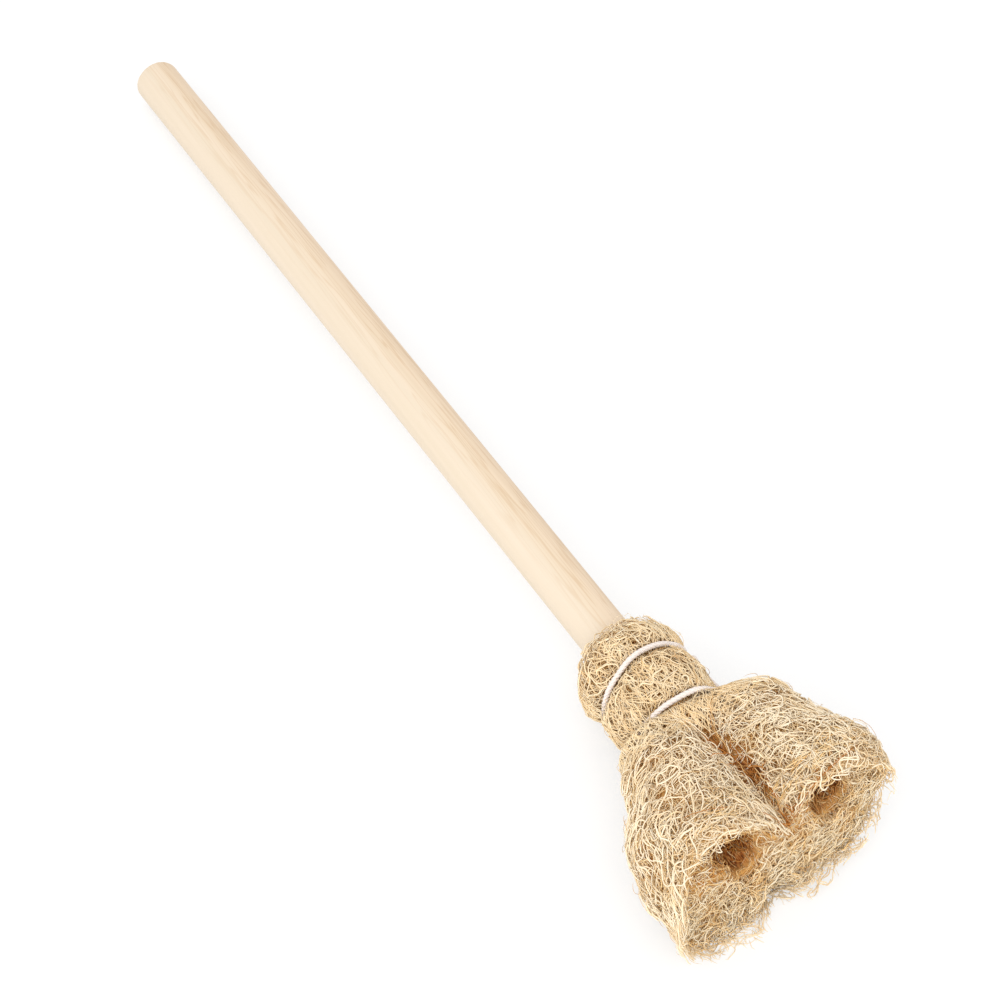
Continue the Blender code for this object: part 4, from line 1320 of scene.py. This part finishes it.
def cord_line():
    """The string's middle line: a tail, the upper turn, the strand down the side, the lower turn, a tail."""
    half, tail, whole = TURN_PITCH / 2, TURN_PITCH / 2 + TAIL_LENGTH, math.tau
    knot, top, foot = KNOT_ANGLE, STRAND_TOP_ANGLE, STRAND_END_ANGLE
    runs = [cord_run(*run) for run in (
        (20, knot, upper_turn, -tail, knot, upper_turn, -half),
        (220, knot, upper_turn, -half, top + whole, upper_turn, half),
        (40, top + whole, upper_turn, half, foot + whole, lower_turn, -half),
        (200, foot, lower_turn, -half, knot + whole, lower_turn, half),
        (20, knot + whole, lower_turn, half, knot + whole, lower_turn, half - TAIL_LENGTH),
    )]
    path = np.concatenate([runs[0]] + [run[1:] for run in runs[1:]])
    path[:, 0] = np.unwrap(path[:, 0])
    angle, along = eased_line(path, CORNER_ROUNDING).T
    return eased_line(on_ray(angle, along, cord_height(angle, along)), LINE_ROUNDING)


def evenly(line, step):
    """The same line with its points a set distance apart, and the distance run to each."""
    run = run_along(np.linalg.norm(np.diff(line, axis=0), axis=1))
    places = np.linspace(0.0, run[-1], round(run[-1] / step) + 1)
    return np.stack([np.interp(places, run, line[:, axis]) for axis in range(3)], axis=-1), places


def plied(name, line, radius, lay, step, material, fray=0.0, plies=3, sides=10):
    """A piece of plied yarn along a line: each ply a tube whose middle winds round it, one turn in each lay.

    The frame across the line is carried along it by taking out of the last one its part along the line. A
    ply's middle is the line plus a share of the yarn's radius times the cosine and sine of the winding
    angle. Near the ends a smooth step makes that share grow by the fray, and the winding slows.
    """
    line, run = evenly(line, step)
    to_end = np.minimum(run, run[-1] - run)
    loose = 1.0 - eased(to_end / FRAY_LENGTH) if fray else 0.0 * run
    wound = np.cumsum(np.gradient(run) * (1.0 - FRAY_UNWOUND * loose))
    apart = (PLY_APART * radius * (1.0 + fray * loose))[:, None]
    ends = np.sqrt(np.clip(to_end / PLY_ENDS, 0.0, 1.0))
    thick = PLY_RADIUS * radius * (PLY_LEAST + (1.0 - PLY_LEAST) * ends)
    forward = unit(np.gradient(line, axis=0))
    guide = np.zeros_like(line)
    guide[0] = unit(np.cross(forward[0], [0.3, 0.5, 0.8]))
    for here in range(1, len(line)):
        carried = guide[here - 1] - forward[here] * (guide[here - 1] @ forward[here])
        guide[here] = carried / np.linalg.norm(carried)
    other = np.cross(forward, guide)
    places, faces, caps, maps, cap_maps = [], [], [], [], []
    corner = np.arange(sides)
    row, column = np.meshgrid(np.arange(len(line) - 1), corner, indexing="ij")
    for ply in range(plies):
        wind = math.tau * (wound / lay + ply / plies)[:, None]
        outwards = np.cos(wind) * guide + np.sin(wind) * other
        middle = line + apart * outwards
        ahead = unit(np.gradient(middle, axis=0))
        across = unit(np.cross(outwards, ahead))
        ring = tube_rings(middle, across, np.cross(ahead, across), thick, corner * math.tau / sides)
        start = ply * len(line) * sides
        places.append(ring.reshape(-1, 3))
        faces.append(grid_faces(len(line), sides) + start)
        caps.append(np.stack([start + corner[::-1], start + (len(line) - 1) * sides + corner]))
        maps.append(quad_map(run[row], run[row + 1], column / sides, (column + 1) / sides))
        cap_maps.append(np.stack([np.zeros(2 * sides), np.tile(corner / sides, 2)], axis=-1))
    return mesh_piece(name, on_table(np.concatenate(places)), [np.concatenate(faces), np.concatenate(caps)],
                      material, ("ply", np.concatenate(maps + cap_maps)))


def knot_line(centre, angle, size):
    """An overhand knot's loop: a trefoil, sine and double sine across, turned to face away from the stick."""
    t = np.linspace(0.0, math.tau, 160)
    flat = np.stack([
        np.sin(t) + 2 * np.sin(2 * t), np.cos(t) - 2 * np.cos(2 * t), -1.1 * np.sin(3 * t)], axis=-1)
    out = np.array([0.0, math.cos(angle), math.sin(angle)])
    side = np.array([0.0, -math.sin(angle), math.cos(angle)])
    lengthwise = np.array([1.0, 0.0, 0.0])
    return centre + size * (flat[:, :1] * lengthwise + flat[:, 1:2] * side * 0.8 + flat[:, 2:] * out)


def make_string():
    """The plied string on its path, with two frayed tails and a knot over each turn on the far side."""
    cotton = cotton_material()
    string = plied("tie_yarn", cord_line(), STRING_RADIUS, STRING_LAY, STRING_STEP, cotton, FRAY)
    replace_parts(string, "tie_string")
    for name, ring in (("upper_knot", upper_turn), ("lower_knot", lower_turn)):
        along = ring(KNOT_ANGLE)
        height = cord_height(np.array([KNOT_ANGLE]), np.array([along]))[0] + KNOT_RAISED
        loop = knot_line(on_ray(KNOT_ANGLE, along, height), KNOT_ANGLE, KNOT_SIZE)
        plied(name, loop, KNOT_YARN, KNOT_LAY, KNOT_STEP, cotton)


make_stick()
make_pulp()
make_string()

# The loofah's fibres
group = fibre_colour_group()
straw = fibre_material("straw_fibre", group, STRAW)
inner = fibre_material("inner_fibre", group, INNER_STRAW)
rng = np.random.default_rng(11)

# The net from the top down, then the crease: spacing, depth, the depth's spread, shortest, longest and
# thickness in millimetres, then curl, bend, tone and where the fibres start. The tone is lower the deeper a
# layer lies: painted shade under the layers above
net_lots = [net(rng, *numbers, **others) for numbers, others in (
    ((0.84, -0.02, 0.1, 3, 8.5, 0.124, 0.75, 0.4, 0.98, "on top"),
     {"sides": 4, "step": FINE_STEP, "cut_limits": (-0.8, 1.6), "weave": 0.1}),
    ((0.78, 0.3, 0.12, 3, 8.5, 0.118, 0.8, 0.4, 0.96, "on top"),
     {"step": FINE_STEP, "cut_limits": (-0.8, 1.6), "weave": 0.14}),
    ((0.62, 0.7, 0.2, 3, 8, 0.1, 0.9, 0.36, 0.9, "clear of the crease"), {}),
    ((0.44, 1.1, 0.25, 3, 9, 0.09, 0.9, 0.26, 0.78, "thin at the edge"), {"patchy": 0.4}),
    ((0.42, 1.6, 0.3, 4, 10, 0.09, 0.9, 0.24, 0.66, "thin at the edge"),
     {"patchy": 0.4, "cut_limits": (0.6, 3.0)}),
    ((0.5, 2.2, 0.3, 4, 10, 0.1, 0.8, 0.22, 0.58, "thin at the edge"),
     {"patchy": 0.4, "cut_limits": (1.0, 4.5)}),
    # The crease's two lots: net() lowers their tone in the deep crease, painted shade at its bottom
    ((0.4, 0.6, 0.4, 6, 16, 0.095, 0.3, 0.03, 0.8, "towards the crease"), {"heading": 0.2}),
    ((0.24, 0.3, 0.45, 3, 9, 0.1, 0.6, 0.12, 1.0, "in the crease"), {"heading": 0.5}),
)]
# At each turn of string: the angle in degrees, its spread and the number of straps, then the gathers
for ring, middle, spread, count in (
    (upper_turn, 196, 8, 14), (upper_turn, 24, 13, 80), (lower_turn, 152, 9, 30), (lower_turn, 40, 11, 56),
):
    net_lots.append(straps(rng, ring, middle, spread, count))
for ring, way, count in (
    (upper_turn, -1.0, 160), (upper_turn, 1.0, 160), (lower_turn, -1.0, 160), (lower_turn, 1.0, 320),
):
    net_lots.append(gathers(rng, ring, way, count))
net_lots.append(rosettes(rng, 90, 9, 1.8 * MM, 4.2 * MM, -0.05 * MM, 0.115 * MM, 0.97, "right top"))
net_lots.append(rosettes(rng, 480, 4, 2 * MM, 4.5 * MM, 0.0, 0.11 * MM, 0.96, "not in the crease"))
fibre_pieces("fibre_net", net_lots, straw, rng)

# The deeper crosswise lot's lower tone is painted shade
inner_lots = [
    lengthwise_fill(rng, 2000, 5 * MM, 12 * MM, 0.09 * MM, 0.86),
    crosswise_fill(rng, 2200, 3 * MM, 7 * MM, 0.0, 0.8 * MM, 0.11 * MM, 1.0),
    crosswise_fill(rng, 2600, 3 * MM, 8 * MM, 0.8 * MM, 4 * MM, 0.09 * MM, 0.86),
]
for hollow in HOLLOWS:
    spacing, back = (0.8 * MM, WEB_LINING_BACK) if hollow is LOWER_CHAMBER else (0.32 * MM, 0.0)
    inner_lots.append(lining(rng, hollow, spacing, back))
fibre_pieces("inner_fibres", inner_lots, inner, rng)
fibre_pieces("cut_fringe", [comb(rng, 130, 2 * MM, 3.5 * MM, 1.0 * MM, 0.1 * MM, 0.94)], straw, rng)
fibre_pieces("loose_hairs", [loose_hairs(rng, 260, 0.045 * MM)], straw, rng)


# Stage, light and camera
def backdrop_material():
    """White floor: half lit, so that it keeps the shadow, and half a plain white for what sees it."""
    material = bpy.data.materials.new("white_floor")
    material.use_nodes = True
    tree = material.node_tree
    tree.nodes.remove(tree.nodes["Principled BSDF"])
    seen = put(tree, "LightPath", "Is Camera Ray")
    path = seen.node.outputs
    for ray in ("Is Glossy Ray", "Is Transmission Ray"):
        seen = maths(tree, "MAXIMUM", seen, path[ray])
    surface = put(tree, "MixShader", "Shader", {
        0: maths(tree, "MULTIPLY", seen, FLOOR_SEEN_WHITE),
        1: put(tree, "BsdfDiffuse", "BSDF", {"Color": (0.95, 0.95, 0.95, 1.0)}),
        2: put(tree, "Emission", "Emission"),
    })
    feed(tree, tree.nodes["Material Output"], {"Surface": surface})
    return material


def make_floor():
    """The floor: a wide flat square under the brush."""
    mesh = bpy.data.meshes.new("floor")
    corners = [(x * FLOOR_HALF, y * FLOOR_HALF, 0.0) for x, y in ((-1, -1), (1, -1), (1, 1), (-1, 1))]
    mesh.from_pydata(corners, [], [(0, 1, 2, 3)])
    mesh.materials.append(backdrop_material())
    floor = bpy.data.objects.new("floor", mesh)
    bpy.context.scene.collection.objects.link(floor)


def make_world():
    """Even white light from all round, seen as plain white."""
    world = bpy.data.worlds.new("studio")
    world.use_nodes = True
    tree = world.node_tree
    strength = put(tree, "MapRange", "Result", {
        "Value": put(tree, "LightPath", "Is Camera Ray"), "To Min": WORLD_STRENGTH, "To Max": 1.0})
    feed(tree, tree.nodes["Background"], {"Color": (1.0, 1.0, 1.0, 1.0), "Strength": strength})
    bpy.context.scene.world = world


def make_lamp(name, place, target, size, power):
    """A square lamp at a place, facing a target."""
    lamp = bpy.data.lights.new(name, "AREA")
    lamp.size = size
    lamp.energy = power
    holder = bpy.data.objects.new(name, lamp)
    bpy.context.scene.collection.objects.link(holder)
    away = np.array(place) - np.array(target)
    tilt = math.acos(away[2] / np.linalg.norm(away))
    holder.location = place
    holder.rotation_euler = (tilt, 0.0, math.atan2(away[1], away[0]) + math.pi / 2)


make_floor()
make_world()
make_lamp("key", (0.75, -0.7, 1.0), (0.08, 0.0, 0.0), 1.4, 13.0)

camera = bpy.data.objects.new("camera", bpy.data.cameras.new("camera"))
camera.data.lens = CAMERA_LENS
camera.data.sensor_width = 36.0
camera.location = CAMERA_PLACE
camera.rotation_euler = (math.pi / 2 - CAMERA_ELEVATION, 0.0, CAMERA_AZIMUTH)
bpy.context.scene.collection.objects.link(camera)
bpy.context.scene.camera = camera
bpy.context.scene.view_settings.view_transform = "Standard"
